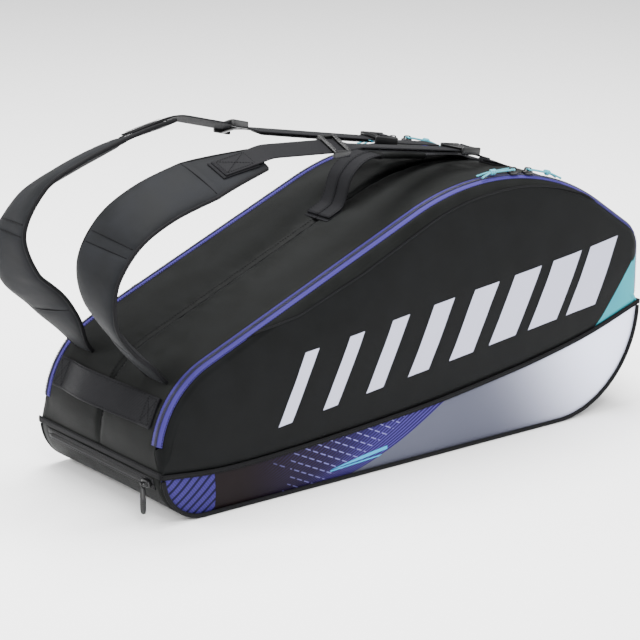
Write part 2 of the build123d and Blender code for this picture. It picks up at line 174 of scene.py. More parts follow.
def webbingPaint(name, dark, light):
    # ribs run along the strap, crossed by fine weft
    paint = Paint(name, roughness=0.62, Specular_IOR_Level=0.07)
    ribs = (paint.v * (2 * pi / weave["webRib"])).sine() * 0.5 + 0.5
    weft = (paint.u * (2 * pi / (weave["webRib"] * 0.8)) + ribs * 2).sine() * 0.5 + 0.5
    paint.colour(paint.mix(ribs * 0.4 + weft * 0.4, dark, light))
    paint.relief(ribs * 0.6 + weft * 0.5, 0.0004, 0.7)
    return paint.material


def mouldedPaint(name, colour, roughness, coat):
    paint = Paint(name, roughness=roughness, Coat_Weight=coat, Coat_Roughness=0.12, Specular_IOR_Level=0.25)
    grain = paint.noise(900, 2)
    paint.colour(paint.mix(grain * 0.2, colour, linear(40, 40, 42)))
    paint.put("Roughness", grain * 0.14 + (roughness - 0.07))
    paint.relief(grain, 0.00008, 0.5)
    return paint.material


def bagCloth():
    return clothPaint("bagCloth", ink["black"], ink["blackLight"]).material


def liningCloth():
    paint = clothPaint("liningCloth", ink["lining"], linear(58, 58, 65), 0.0014, 0.7, 0.3)
    return paint.material


def sidePrint():
    # black panel with a teal corner and plain slanted bars
    paint = clothPaint("sidePrint", ink["panelBlack"], ink["panelLight"], roughness=0.5, crease=0.2)
    ground = paint.shader.inputs["Base Color"].links[0].from_socket
    corner = {"foot": 0.305, "height": 0.114, "lean": 0.768}
    lean = paint.u - (paint.v - corner["height"]) * corner["lean"]
    teal = lean > corner["foot"]
    shade = paint.noise(9, 2).ramp(0.3, 0.7)
    tealInk = paint.mix(shade, ink["teal"], ink["tealLight"])
    bars = {"first": -0.215, "last": 0.287, "pitch": 0.0628, "slant": 0.46, "low": 0.088, "rise": 0.13,
        "tall": 0.086, "thin": 0.30, "broad": 0.78}
    along = paint.u - (paint.v - bars["low"]) * bars["slant"]
    step = along - bars["first"]
    grow = (step / (bars["last"] - bars["first"])).ramp(0.0, 1.0)
    inBar = step.repeat(bars["pitch"]) < (grow * (bars["broad"] - bars["thin"]) + bars["thin"])
    span = (along > bars["first"]).least(along < bars["last"])
    foot = step * bars["rise"] + bars["low"]
    top = foot + bars["tall"]
    band = (paint.v > foot).least(paint.v < top)
    graphic = inBar.least(span).least(band)
    sheen = paint.node("ShaderNodeTexWave", {"wave_type": "BANDS", "bands_direction": "DIAGONAL"},
        {"Vector": paint.flat, "Scale": 260.0, "Distortion": 0.4})
    pearlInkAndShine = paint.mix(sheen * 0.5, ink["silver"], linear(160, 162, 180))
    withTeal = paint.mix(teal, Value(paint, ground), tealInk)
    paint.colour(paint.mix(graphic, withTeal, pearlInkAndShine))
    return paint.material


def bandPrint():
    # pearl right part, violet grid that fades to black, striped violet corner block
    paint = Paint("bandPrint", roughness=0.5, Specular_IOR_Level=0.07)
    u, v = paint.u, paint.v
    sweepEdge = {"low": -0.128, "reach": 0.188, "height": 0.075, "bend": 0.68}
    lift = (v / sweepEdge["height"]).most(0.0)
    edge = lift.math("POWER", sweepEdge["bend"]) * sweepEdge["reach"] + sweepEdge["low"]
    pearlShare = (u - edge) > 0.0
    # painted shine and painted shade: the pearl cloth is painted brighter towards the wide end and darker
    # towards its foot
    paintedShine = (u + v * 0.5).ramp(0.03, 0.37).math("POWER", 3.0)
    pearlInkAndShine = paint.mix(paintedShine, ink["pearlPaintedShade"], ink["pearl"])
    fade = (u + 0.275).ramp(0.0, 0.17)
    # bands that follow the pearl edge, crossed by rows of short falling dashes
    behind = edge - u
    bands = (behind + paint.noise(5, 1) * 0.006).repeat(0.0082) < 0.42
    near = 1 - behind.ramp(0.045, 0.115)
    row = v * 0.90 + u * 0.43
    dash = (row.repeat(0.0094) < 0.15).least((u - v * 0.8).repeat(0.0152) < 0.68)
    scatter = paint.noise(42, 1)
    dashShare = dash.least((scatter * 0.8) < (fade + 0.03)).least(behind > 0.048)
    depth = paint.mix((u + 0.16).ramp(0.0, 0.12), linear(24, 17, 30), ink["violetDeep"])
    field = paint.mix(bands * near * 0.9, depth, ink["violetLight"])
    field = paint.mix(bands * (1 - near) * 0.4, field, ink["violet"])
    field = paint.mix(dashShare * 0.8, field, linear(112, 110, 168))
    dark = paint.mix(fade, ink["brown"], field)
    slash = ((v - 0.0225 - (u + 0.083) * 0.12).math("ABSOLUTE") < ((u + 0.134) * 0.045).least(0.0022))
    slashSpan = (u > -0.134).least(u < -0.045)
    second = ((v - 0.0172 - (u + 0.083) * 0.05).math("ABSOLUTE") < 0.0009)
    cyanShare = slash.most(second).least(slashSpan)
    dark = paint.mix(cyanShare, dark, ink["cyan"])
    block = u < -0.306
    stripes = (u * 0.62 - v * 0.78 + 0.5).repeat(0.0092) < 0.34
    fine = (u * 0.78 + v * 0.62 + 0.5).repeat(0.0030) < 0.35
    blockInk = paint.mix(fine * 0.35, linear(42, 35, 90), ink["violetLight"])
    blockInk = paint.mix(stripes, blockInk, ink["navy"])
    dark = paint.mix(block, dark, blockInk)
    paint.colour(paint.mix(pearlShare, dark, pearlInkAndShine))
    threads = paint.plain(weave["cloth"])
    folds = paint.noise(12, 3, 0.45)
    paint.relief(threads * 0.1 + folds * 0.6, 0.001, 0.5)
    paint.put("Roughness", paint.noise(30, 3) * 0.12 + 0.36)
    return paint.material


def zipTapePaint():
    paint = Paint("zipTapeViolet", roughness=0.5, Specular_IOR_Level=0.12)
    rib = (paint.u * (2 * pi / weave["tapeRib"])).sine() * 0.5 + 0.5
    edge = (paint.v.repeat(0.0022) < 0.5)
    paint.colour(paint.mix(rib * 0.3 + edge * 0.25, ink["violet"], ink["violetLight"]))
    paint.relief(rib, 0.0002, 0.6)
    return paint.material


def darkTapePaint():
    paint = Paint("zipTapeBlack", roughness=0.6, Specular_IOR_Level=0.2)
    rib = (paint.u * (2 * pi / weave["tapeRib"])).sine() * 0.5 + 0.5
    paint.colour(paint.mix(rib * 0.6, ink["webbing"], ink["webbingLight"]))
    paint.relief(rib, 0.0002, 0.6)
    return paint.material


def meshPaint():
    # spacer mesh with rows of small holes
    paint = Paint("padMesh", roughness=0.8, Specular_IOR_Level=0.15)
    cells = paint.node("ShaderNodeTexVoronoi", {"feature": "F1"},
        {"Vector": paint.flat, "Scale": 1 / weave["mesh"], "Randomness": 0.15})
    holeAndShade = cells.ramp(0.2, 0.42)
    # the holes are painted darker than the mesh: painted shade inside them
    paint.colour(paint.mix(holeAndShade, linear(12, 12, 13), ink["webbingLight"]))
    paint.relief(holeAndShade, 0.0008, 0.8)
    return paint.material


def cordPaint():
    paint = Paint("braidedCord", roughness=0.5, Sheen_Weight=0.3)
    left = (paint.u * (2 * pi / 0.0026) + paint.v * (2 * pi / 0.0042)).sine()
    right = (paint.u * (2 * pi / 0.0026) - paint.v * (2 * pi / 0.0042)).sine()
    braid = (left * right) * 0.5 + 0.5
    paint.colour(paint.mix(braid, ink["cordDark"], ink["cord"]))
    paint.relief(braid, 0.0004, 0.8)
    return paint.material


def threadPaint():
    paint = Paint("thread", roughness=0.6, Specular_IOR_Level=0.04)
    twist = (paint.u * (2 * pi / 0.0006)).sine() * 0.5 + 0.5
    paint.colour(paint.mix(twist, ink["thread"], linear(20, 20, 22)))
    paint.relief(twist, 0.0001, 0.5)
    return paint.material


def boardPaint():
    paint = Paint("stiffenerBoard", roughness=0.5)
    grain = paint.noise(120, 3)
    paint.colour(paint.mix(grain, linear(50, 50, 54), linear(66, 66, 70)))
    return paint.material


look = {"cloth": bagCloth(), "side": sidePrint(), "band": bandPrint(), "lining": liningCloth(),
    "tape": zipTapePaint(), "darkTape": darkTapePaint(), "coil":
    mouldedPaint("zipCoil", ink["navy"], 0.38, 0.2), "webbing":
    webbingPaint("strapWebbing", ink["webbing"], ink["webbingLight"]),
    "binding": webbingPaint("edgeBinding", linear(12, 12, 13), linear(24, 24, 26)),
    "pad": clothPaint("padCloth", linear(16, 17, 18), linear(30, 31, 34), 0.0013, 0.6, 0.25).material,
    "mesh": meshPaint(), "buckle": mouldedPaint("buckleAcetal", ink["plastic"], 0.34, 0.08),
    "metal": mouldedPaint("sliderEnamel", linear(14, 14, 15), 0.32, 0.12),
    "puller": mouldedPaint("pullerRubber", linear(16, 16, 17), 0.5, 0.1), "cord": cordPaint(),
    "thread": threadPaint(), "board": boardPaint(),}
print("materials ready")


def makePiece(name, points, faces, flat, paints, which=None):
    # points and flat map in metres; paints: names in look or materials; which: paint per face
    mesh = bpy.data.meshes.new(name)
    mesh.from_pydata([tuple(p) for p in points], [], [tuple(f) for f in faces])
    layer = mesh.uv_layers.new(name="flat")
    corners = np.zeros(len(mesh.loops), dtype=np.int32)
    mesh.loops.foreach_get("vertex_index", corners)
    layer.data.foreach_set("uv", np.asarray(flat, dtype=np.float32)[corners].ravel())
    for paint in paints:
        mesh.materials.append(look[paint] if isinstance(paint, str) else paint)
    if which is not None:
        mesh.polygons.foreach_set("material_index", np.asarray(which, dtype=np.int32))
    mesh.polygons.foreach_set("use_smooth", [True] * len(mesh.polygons))
    mesh.update()
    piece = bpy.data.objects.new(name, mesh)
    bpy.context.scene.collection.objects.link(piece)
    return piece


def gridFaces(rows, columns, closed=False, flip=False):
    faces = []
    last = columns if closed else columns - 1
    for i in range(rows - 1):
        for j in range(last):
            k = (j + 1) % columns
            face = (i * columns + j, i * columns + k, (i + 1) * columns + k, (i + 1) * columns + j)
            faces.append(face[::-1] if flip else face)
    return faces


def outwards(piece):
    # turn a closed piece's faces to look out of it
    mesh = piece.data
    centre = sum((v.co for v in mesh.vertices), Vector()) / len(mesh.vertices)
    full = sum((face.center - centre).dot(face.normal) * face.area for face in mesh.polygons)
    if full < 0:
        mesh.flip_normals()
    return piece


def freeze(piece):
    # keep the shape that the piece's modifiers give
    bpy.context.view_layer.update()
    graph = bpy.context.evaluated_depsgraph_get()
    final = bpy.data.meshes.new_from_object(piece.evaluated_get(graph))
    piece.modifiers.clear()
    piece.data = final
    return piece


def thicken(piece, depth, lining=None):
    # gives a sheet its cloth thickness, inwards, with the lining on the inner face
    solid = piece.modifiers.new("thickness", "SOLIDIFY")
    solid.thickness = depth
    solid.offset = -1
    if lining is not None:
        piece.data.materials.append(look[lining])
        solid.material_offset = len(piece.data.materials) - 1
    return freeze(piece)


def aim(piece, away):
    # turn the faces so that they look away from a point
    mesh = piece.data
    total = sum((polygon.center - Vector(away)).dot(polygon.normal) * polygon.area for polygon in
        mesh.polygons)
    if total < 0:
        mesh.flip_normals()
    return piece


def sheetPiece(name, rows, spots, paint, away, depth=0.0, lining=None):
    # cloth over rows of points, facing away from a point inside the bag
    points, flat = np.stack(rows), np.stack(spots)
    piece = makePiece(name, points.reshape(-1, 3), gridFaces(*points.shape[:2]), flat.reshape(-1, 2),
        [paint])
    aim(piece, away)
    if depth:
        thicken(piece, depth, lining)
    return piece


def ringStack(name, points, flat, size, paint):
    # closed body from rings of points, one above the other
    faces = gridFaces(len(points) // size, size, closed=True)
    faces += [tuple(range(size))[::-1], tuple(range(len(points) - size, len(points)))]
    return outwards(makePiece(name, points, faces, flat, [paint]))


def smoothPath(points, spacing):
    # Catmull-Rom curve through the points
    points = np.asarray(points, dtype=float)
    padded = np.vstack([2 * points[0] - points[1], points, 2 * points[-1] - points[-2]])
    line = []
    for i in range(1, len(padded) - 2):
        a, b, c, d = padded[i - 1:i + 3]
        count = max(2, int(np.linalg.norm(c - b) / spacing))
        for t in np.linspace(0, 1, count, endpoint=False):
            line.append(0.5 * (2 * b + (c - a) * t + (2 * a - 5 * b + 4 * c - d) * t * t +
                (3 * b - a - 3 * c + d) * t ** 3))
    line.append(points[-1])
    return np.array(line)


def unit(rows):
    return rows / np.maximum(np.linalg.norm(rows, axis=-1, keepdims=True), 1e-12)


def lengths(path):
    return np.concatenate([[0], np.cumsum(np.linalg.norm(np.diff(path, axis=0), axis=1))])


def sample(travel, rows, spot):
    # rows of numbers read at a distance along their path
    return np.stack([np.interp(spot, travel, rows[:, k]) for k in range(rows.shape[1])], -1)


def ease(share):
    return share * share * (3 - 2 * share)


def signed(value, power):
    # a power that keeps the sign
    return abs(value) ** power * (1 if value > 0 else -1)


def sweepPiece(name, path, across, profile, paints, scale=None, caps=True, which=None):
    # profile: closed loop of (across, outwards); scale: per path point (across, outwards)
    path = np.asarray(path, dtype=float)
    count, size = len(path), len(profile)
    along = unit(np.gradient(path, axis=0))
    wide = np.broadcast_to(np.asarray(across, dtype=float), path.shape)
    wide = unit(wide - along * (wide * along).sum(1, keepdims=True))
    out = np.cross(along, wide)
    scale = np.ones((count, 2)) if scale is None else scale
    loop = np.asarray(profile, dtype=float)
    points = (path[:, None] + wide[:, None] * (loop[None, :, :1] * scale[:, None, :1]) + out[:, None] *
        (loop[None, :, 1:] * scale[:, None, 1:]))
    sized = loop * scale.mean(0)
    flat = np.stack(np.broadcast_arrays(lengths(path)[:, None], lengths(sized)[None, :]), -1)
    faces = gridFaces(count, size, closed=True, flip=True)
    index = [0] * len(faces) if which is None else [which[j] for _ in range(count - 1) for j in range(size)]
    if caps:
        faces += [tuple(range(size)), tuple(range((count - 1) * size, count * size))[::-1]]
        index += [0, 0]
    return outwards(makePiece(name, points.reshape(-1, 3), faces, flat.reshape(-1, 2), paints, index))


def strapProfile(width, depth, rounding=0.3, sides=10):
    # flat bar with rounded edges, counted round from the +across edge
    loop = []
    for k in range(4 * sides):
        angle = 2 * pi * (k + 0.5) / (4 * sides)
        a, b = signed(cos(angle), rounding), signed(sin(angle), rounding + 0.25)
        loop.append((a * width / 2, b * depth / 2))
    return loop


def tubeProfile(radius, sides=10, flatten=1.0):
    return [(radius * cos(2 * pi * k / sides), radius * flatten * sin(2 * pi * k / sides)) for k in
        range(sides)]


def joinPieces(name, pieces):
    # one object from several, keeping each face's material
    points, faces, flat, which, paints = [], [], [], [], []
    for piece in pieces:
        mesh = piece.data
        start = len(points)
        points += [tuple(v.co) for v in mesh.vertices]
        spots = [(0.0, 0.0)] * len(mesh.vertices)
        layer = mesh.uv_layers["flat"].data
        for loop in mesh.loops:
            spots[loop.vertex_index] = tuple(layer[loop.index].uv)
        flat += spots
        for material in mesh.materials:
            if material not in paints:
                paints.append(material)
        for polygon in mesh.polygons:
            faces.append([start + v for v in polygon.vertices])
            which.append(paints.index(mesh.materials[polygon.material_index]))
        bpy.data.objects.remove(piece)
    return makePiece(name, points, faces, flat, paints, which)


def block(centre, axes, size, paint, soften=0.0008):
    # box on three axes with rolled edges
    half = np.asarray(size) / 2
    corners = [np.array((i, j, k)) for i in (-1, 1) for j in (-1, 1) for k in (-1, 1)]
    points = [np.asarray(centre) + sum(corner[a] * half[a] * np.asarray(axes[a]) for a in range(3)) for
        corner in corners]
    faces = [(0, 1, 3, 2), (4, 6, 7, 5), (0, 4, 5, 1), (2, 3, 7, 6), (0, 2, 6, 4), (1, 5, 7, 3)]
    flat = [(corner[0] * half[0] + corner[2] * half[2], corner[1] * half[1]) for corner in corners]
    piece = outwards(makePiece("block", points, faces, flat, [paint]))
    edge = piece.modifiers.new("edge", "BEVEL")
    edge.width = min(soften, min(size) * 0.45)
    edge.segments = 3
    return freeze(piece)


def finishPiece(piece, body, nodes):
    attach(piece, body)
    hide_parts(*nodes)
    return piece


baseLow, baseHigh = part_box("base_panel")
bandLow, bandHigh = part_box("lower_band_near")
bag = {"narrow": baseLow.x, "wide": baseHigh.x, "side": -bandLow.y, "narrowTop": 0.115,
    "narrowTopHeight": 0.078, "crown": 0.330, "crownCentre": (0.129, 0.012), "wideTop": 0.040,
    "wideTopHeight": 0.215, "wideFoot": 0.140, "narrowFoot": 0.060, "seamNarrow": 0.060, "seamWide": 0.141,
    "foldNarrow": 0.091, "foldWide": 0.150, "edgeRound": 0.014, "endZip": 0.048, "zip": 0.118,
    "tape": 0.0072, "step": 0.005,}
lowerSeam = [(-0.382, 0.060), (-0.290, 0.052), (-0.160, 0.056), (0.0, 0.067), (0.117, 0.081),
    (0.210, 0.095), (0.300, 0.114), (0.386, 0.141)]
facingDepth = [(-0.262, 0.0), (-0.190, 0.016), (-0.094, 0.021), (0.017, 0.019), (0.118, 0.016),
    (0.163, 0.013), (0.227, 0.009), (0.265, 0.006), (0.305, 0.0)]


def arcPoints(centre, radius, first, last):
    count = max(3, int(abs(radians(last - first)) * radius / bag["step"]) + 2)
    turns = np.radians(np.linspace(first, last, count))
    out = np.stack([np.cos(turns), np.sin(turns)], 1)
    return np.asarray(centre) + radius * out, out


def makeTrack(arcs, start, end):
    # joins arcs with straight runs: points and outward normals, evenly spaced
    points, normals = [], []
    for centre, radius, first, last in arcs:
        p, n = arcPoints(centre, radius, first, last)
        if not points:
            points.append(np.array([start]))
            normals.append(n[:1])
        points.append(p)
        normals.append(n)
    points.append(np.array([end]))
    normals.append(normals[-1][-1:])
    points, normals = np.vstack(points), np.vstack(normals)
    travel = lengths(points)
    keep = np.concatenate([[True], np.diff(travel) > 1e-6])
    points, normals, travel = points[keep], normals[keep], travel[keep]
    even = np.linspace(0, travel[-1], int(travel[-1] / bag["step"]) + 1)
    track = {"s": even}
    track["p"] = sample(travel, points, even)
    track["n"] = unit(sample(travel, normals, even))
    return track


def tiltBetween(a, radiusA, b, radiusB):
    run, rise = b[0] - a[0], b[1] - a[1]
    return degrees(atan2(rise, run) + asin((radiusB - radiusA) / hypot(run, rise)))


narrowTopCentre = (bag["narrow"] + bag["narrowTop"], bag["narrowTopHeight"])
wideTopCentre = (bag["wide"] - bag["wideTop"], bag["wideTopHeight"])
topRise = tiltBetween(narrowTopCentre, bag["narrowTop"], bag["crownCentre"], bag["crown"])
topFall = -tiltBetween(bag["crownCentre"], bag["crown"], wideTopCentre, bag["wideTop"])
topTrack = makeTrack([(narrowTopCentre, bag["narrowTop"], 180, 90 + topRise),
    (bag["crownCentre"], bag["crown"], 90 + topRise, 90 - topFall),
    (wideTopCentre, bag["wideTop"], 90 - topFall, 0)], (bag["narrow"], bag["seamNarrow"]),
    (bag["wide"], bag["seamWide"]))
footTrack = makeTrack([((bag["narrow"] + bag["narrowFoot"], bag["narrowFoot"]), bag["narrowFoot"], 180,
    270), ((bag["wide"] - bag["wideFoot"], bag["wideFoot"]), bag["wideFoot"], 270, 360)],
    (bag["narrow"], bag["seamNarrow"]), (bag["wide"], bag["seamWide"]))


def seamHeight(x):
    fine = smoothPath([(a, 0, b) for a, b in lowerSeam], 0.004)
    return np.interp(x, fine[:, 0], fine[:, 2])


def trackHeight(track, x):
    line = track["p"]
    keep = np.concatenate([[True], np.diff(line[:, 0]) > 1e-5])
    return np.interp(x, line[keep, 0], line[keep, 1])


def ripple(x, y, z, size, depth):
    # slow uneven waviness of cloth
    spots = np.stack(np.broadcast_arrays(x, y, z), -1)
    waves = [noise.noise(Vector(spot) / size) for spot in spots.reshape(-1, 3).tolist()]
    return np.array(waves).reshape(spots.shape[:-1]) * depth


def part(track, low, high):
    keep = (track["s"] >= low - 1e-9) & (track["s"] <= high + 1e-9)
    return {key: value[keep] for key, value in track.items()}


def stationAt(track, x=None, z=None, late=False):
    # arc length where the track passes a given x or height
    column, goal = (0, x) if x is not None else (1, z)
    gap = track["p"][:, column] - goal
    crossings = np.where(np.diff(np.sign(gap)) != 0)[0]
    spot = crossings[-1 if late else 0]
    share = gap[spot] / (gap[spot] - gap[spot + 1])
    return track["s"][spot] + share * (track["s"][spot + 1] - track["s"][spot])


zipStart = stationAt(topTrack, z=bag["foldNarrow"])
zipEnd = stationAt(topTrack, z=bag["foldWide"], late=True)
sides = (("near", -1), ("far", 1))
print("outline ready")


def stitchRow(line, normals, pitch=0.0042, length=0.0028, radius=0.00035):
    # a run of separate thread stitches lying on a seam line
    line = np.asarray(line, float)
    normals = unit(np.broadcast_to(np.asarray(normals, float), line.shape))
    travel = lengths(line)
    points, faces, flat = [], [], []
    for start in np.arange(pitch * 0.3, travel[-1] - length, pitch):
        ends = [sample(travel, line, start + off) for off in (0, length)]
        up = unit(sample(travel, normals, start))
        run = unit(ends[1] - ends[0])
        wide = np.cross(run, up) * radius * 1.3
        mids = (ends[0] * 0.75 + ends[1] * 0.25, ends[0] * 0.25 + ends[1] * 0.75)
        k = len(points)
        points.append(ends[0])
        for mid in mids:
            points += [mid + wide, mid + up * radius * 1.6, mid - wide]
        points.append(ends[1])
        faces += [(k, k + 1, k + 2), (k, k + 2, k + 3), (k + 1, k + 4, k + 5, k + 2),
            (k + 2, k + 5, k + 6, k + 3), (k + 4, k + 7, k + 5), (k + 5, k + 7, k + 6)]
        flat += [(start + (0, 0.3, 0.3, 0.3, 0.7, 0.7, 0.7, 1)[i] * length, 0) for i in range(8)]
    return makePiece("seam", points, faces, flat, ["thread"])


def coilTeeth(points, ups, across, low, high, phase, paint="coil", pitch=0.0017):
    # rounded teeth on one tape, half a pitch out of step with the other tape's
    travel = lengths(points)
    ups, across = (np.broadcast_to(rows, points.shape) for rows in (ups, across))
    verts, faces, flat = [], [], []
    ring = [(0.45 * cos(pi * k / 4), 0.5 * sin(pi * k / 4)) for k in range(5)]
    for i in range(int(travel[-1] / pitch) - 1):
        s = (i + 0.5 + phase) * pitch
        centre = sample(travel, points, s)
        up, wide = unit(sample(travel, ups, s)), unit(sample(travel, across, s))
        run = np.cross(wide, up)
        k = len(verts)
        for side, height in ((low, 0.0017), (high, 0.0014)):
            for a, b in ring:
                verts.append(centre + wide * side + run * (a * pitch) + up * (b * 2 * height))
                flat.append((s + a * pitch, side))
        faces += [(k + j, k + j + 1, k + 6 + j, k + 5 + j) for j in range(4)]
        faces += [tuple(range(k, k + 5))[::-1], tuple(range(k + 5, k + 10))]
    return outwards(makePiece("teeth", verts, faces, flat, [paint]))


total = topTrack["s"][-1]
thickness = {"side": 0.0022, "body": 0.0018, "facing": 0.0012, "tape": 0.0009}
zipper = {"door": (0.1183, 0.1257), "gusset": (0.1104, 0.1177), "lift": 0.0007, "tooth": (0.0004, 0.0019),
    "endTooth": (0.0006, 0.0017)}
inside = (0, 0, 0.15)


def rise3(p, y):
    # points (x, z) of the outline set at a depth y across the bag
    return np.stack([p[..., 0], np.broadcast_to(y, p[..., 0].shape), p[..., 1]], -1)


def edgeRadius(s):
    # the rolled edge tightens where it runs into the end bindings
    reach = np.minimum(s / 0.030, (total - s) / 0.010).clip(0, 1)
    return 0.003 + (bag["edgeRound"] - 0.003) * ease(reach)


def rolled(track, sign, turn, lift=0.0):
    # points on the rolled edge between the top and the side, turn 0 = flat top, pi/2 = side
    radius = edgeRadius(track["s"])
    turn = np.broadcast_to(turn, radius.shape)
    p = track["p"] - track["n"] * (radius * (1 - np.cos(turn)))[:, None]
    out = np.concatenate([track["n"] * np.cos(turn)[:, None], np.sin(turn)[:, None]], 1)
    y = bag["side"] - radius + radius * np.sin(turn)
    at = np.stack([p[:, 0] + out[:, 0] * lift, sign * (y + out[:, 2] * lift), p[:, 1] + out[:, 1] * lift],
        1)
    return at, np.stack([out[:, 0], sign * out[:, 2], out[:, 1]], 1)


def turnAt(y):
    return asin(min(1.0, max(0.0, (y - bag["side"] + bag["edgeRound"]) / bag["edgeRound"])))


def bulge(x, z):
    # fullness of the stuffed side, pulled in at the seams
    low, high = seamHeight(x), trackHeight(topTrack, x) - bag["edgeRound"]
    share = ((z - low) / np.maximum(high - low, 0.02)).clip(0, 1)
    full = np.minimum(1, (high - low) / 0.2)
    ends = np.minimum((x - bag["narrow"]) / 0.09, (bag["wide"] - x) / 0.09).clip(0, 1)
    return 0.0055 * np.sin(pi * share) * full * np.sin(ends * pi / 2)


def sideFabric(side, sign):
    s = topTrack["s"]
    inZip = ((s > zipStart) & (s < zipEnd)).astype(float)
    start = inZip * turnAt(bag["zip"] + bag["tape"]) + 0.02
    radius = edgeRadius(s)
    rows, spots = [], []
    for share in np.linspace(0, 1, 7):
        turn = start + (pi / 2 - start) * share
        at, _ = rolled(topTrack, sign, turn)
        rows.append(at)
        spots.append(topTrack["p"] - topTrack["n"] * (radius * turn)[:, None] * 0.8)
    rim = topTrack["p"] - topTrack["n"] * radius[:, None]
    foot = np.stack([bag["narrow"] + 0.003 + (bag["wide"] - bag["narrow"] - 0.006) * s / total,
        np.zeros_like(s)], 1)
    foot[:, 1] = seamHeight(foot[:, 0]) + 0.001
    for share in np.linspace(0, 1, 34)[1:]:
        flatSpot = rim + (foot - rim) * share
        x, z = flatSpot[:, 0], flatSpot[:, 1]
        wave = ripple(x, 5 * sign, z, 0.075, 0.0011) + ripple(x, 9 * sign, z, 0.028, 0.0005)
        hold = np.sin(pi * share) ** 0.5 * np.minimum(1, np.hypot(*(rim - foot).T) / 0.1)
        y = bag["side"] + bulge(x, z) + wave * hold
        tuck = np.exp(-((z - seamHeight(x)) / 0.006) ** 2) * 0.0022
        rows.append(rise3(flatSpot, sign * (y - tuck)))
        spots.append(flatSpot)
    piece = sheetPiece(f"sideFabric.{side}", rows, spots, "side", inside, thickness["side"], "lining")
    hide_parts(f"side_panel_{side}", f"side_strip_{side}")
    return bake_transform(piece)


def onSide(x, z, sign, lift):
    y = bag["side"] + bulge(x, z) + lift
    return np.stack([x, sign * y, z], -1)


def facing(side, sign):
    # crescent under the zip, wider in the middle, stitched along its lower edge
    low, high = stationAt(topTrack, x=facingDepth[0][0]), stationAt(topTrack, x=facingDepth[-1][0])
    track = part(topTrack, low, high)
    depth = np.interp(track["p"][:, 0], *np.array(facingDepth).T)
    radius = edgeRadius(track["s"])
    begin = radius * (1 - cos(turnAt(bag["zip"] + bag["tape"]))) + 0.0002
    rows, spots = [], []
    for share in np.linspace(0, 1, 14):
        d = begin + (np.maximum(depth, begin + 0.0005) - begin) * share
        turn = np.arccos((1 - d / radius).clip(0, 1))
        roll, _ = rolled(track, sign, turn, lift=0.0009)
        spot = track["p"] - track["n"] * d[:, None]
        plain = onSide(spot[:, 0], spot[:, 1], sign, 0.0016)
        past = (d > radius)[:, None]
        rows.append(np.where(past, plain, roll))
        spots.append(spot)
    piece = sheetPiece("cloth", rows, spots, "cloth", inside, thickness["facing"])
    inner = rows[-2] * 0.65 + rows[-3] * 0.35
    out = np.array((0, sign, 0))
    seam = stitchRow(inner[3:-3] + out * 0.0004, out)
    welt = rows[-1][2:-2] + out * 0.0003
    edge = sweepPiece("edge", welt, (0, 0, 1), strapProfile(0.0026, 0.0022, 0.8, 4), ["binding"])
    piece = joinPieces(f"facing.{side}", [piece, seam, edge])
    return finishPiece(piece, f"side_{side}", [f"facing_{side}"])


def tapes(side, sign):
    # tape and teeth on the door half and on the gusset half of one long zip
    track = part(topTrack, zipStart, zipEnd)
    for half, body in (("door", f"side_{side}"), ("gusset", "shell")):
        low, high = zipper[half]
        rows, spots = [], []
        for share in np.linspace(0, 1, 5):
            y = low + (high - low) * share
            if y > bag["side"] - bag["edgeRound"]:
                at, _ = rolled(track, sign, turnAt(y), lift=zipper["lift"])
            else:
                at = rise3(track["p"] + track["n"] * zipper["lift"], sign * y)
            rows.append(at)
            spots.append(np.stack([track["s"], np.full_like(track["s"], y)], 1))
        piece = sheetPiece("tape", rows, spots, "tape", inside, thickness["tape"])
        base, up = rolled(track, sign, turnAt(bag["zip"]), lift=0.0006)
        wide = unit(np.cross(np.gradient(base, axis=0), up))
        wide = wide * np.sign((wide[:, 1] * sign))[:, None]
        near, far = zipper["tooth"]
        spanLow, spanHigh = (-near, far) if half == "door" else (-far, near)
        teeth = coilTeeth(base, up, wide, spanLow, spanHigh, 0.5 * (half == "door"))
        edge = rows[-1] if half == "door" else rows[0]
        outs = rolled(track, sign, turnAt(high))[1] if half == "door" else rise3(track["n"], 0.0)
        shift = rows[-2] if half == "door" else rows[1]
        line = edge * 0.72 + shift * 0.28
        seam = stitchRow(line + outs * 0.0004, outs, pitch=0.0036, length=0.0024)
        piece = joinPieces(f"{half}Zip.{side}", [piece, teeth, seam])
        finishPiece(piece, body, [f"{half}_tape_{side}"])


def gusset(side, sign):
    s, p, n = topTrack["s"], topTrack["p"], topTrack["n"]
    rows, spots = [], []
    puff = {"valley": 0.0032, "crown": 0.0024, "reach": 0.1115}
    for share in np.linspace(0, 1, 25) ** 1.4:
        y = share * puff["reach"]
        fine = ripple(s, y * 0.35, 3 * sign, 0.0105, 0.0011) * np.exp(-(y / 0.034) ** 2)
        slow = ripple(s, y, 7 * sign, 0.06, 0.0012) * sin(pi * share)
        h = (puff["crown"] * sin(pi * share) ** 0.8 - puff["valley"] * np.exp(-(y / 0.0045) ** 2) + fine +
            slow)
        ends = np.minimum(s / 0.03, (total - s) / 0.03).clip(0, 1)
        rows.append(rise3(p + n * (h * ends)[:, None], sign * y))
        spots.append(np.stack([s, np.full_like(s, y)], 1))
    inZip = ((s > zipStart) & (s < zipEnd))
    for share in np.linspace(0, 1, 4)[1:]:
        # past the zip's ends the cloth runs on to the rolled edge
        y = puff["reach"] + (bag["side"] - edgeRadius(s) + 0.0015 - puff["reach"]) * share
        rows.append(rise3(p - n * (0.0009 * inZip)[:, None], sign * y))
        spots.append(np.stack([s, y], 1))
    parts = [sheetPiece("cloth", rows, spots, "cloth", inside, thickness["body"], "lining")]
    if sign < 0:
        for lane in (-0.0055, 0.0055):
            line = rise3(p + n * 0.0003, lane + 0 * s)[8:-8]
            parts.append(stitchRow(line, rise3(n, 0.0)[8:-8]))
    piece = joinPieces(f"gusset.{side}", parts)
    return finishPiece(piece, "shell", [f"gusset_{side}"])


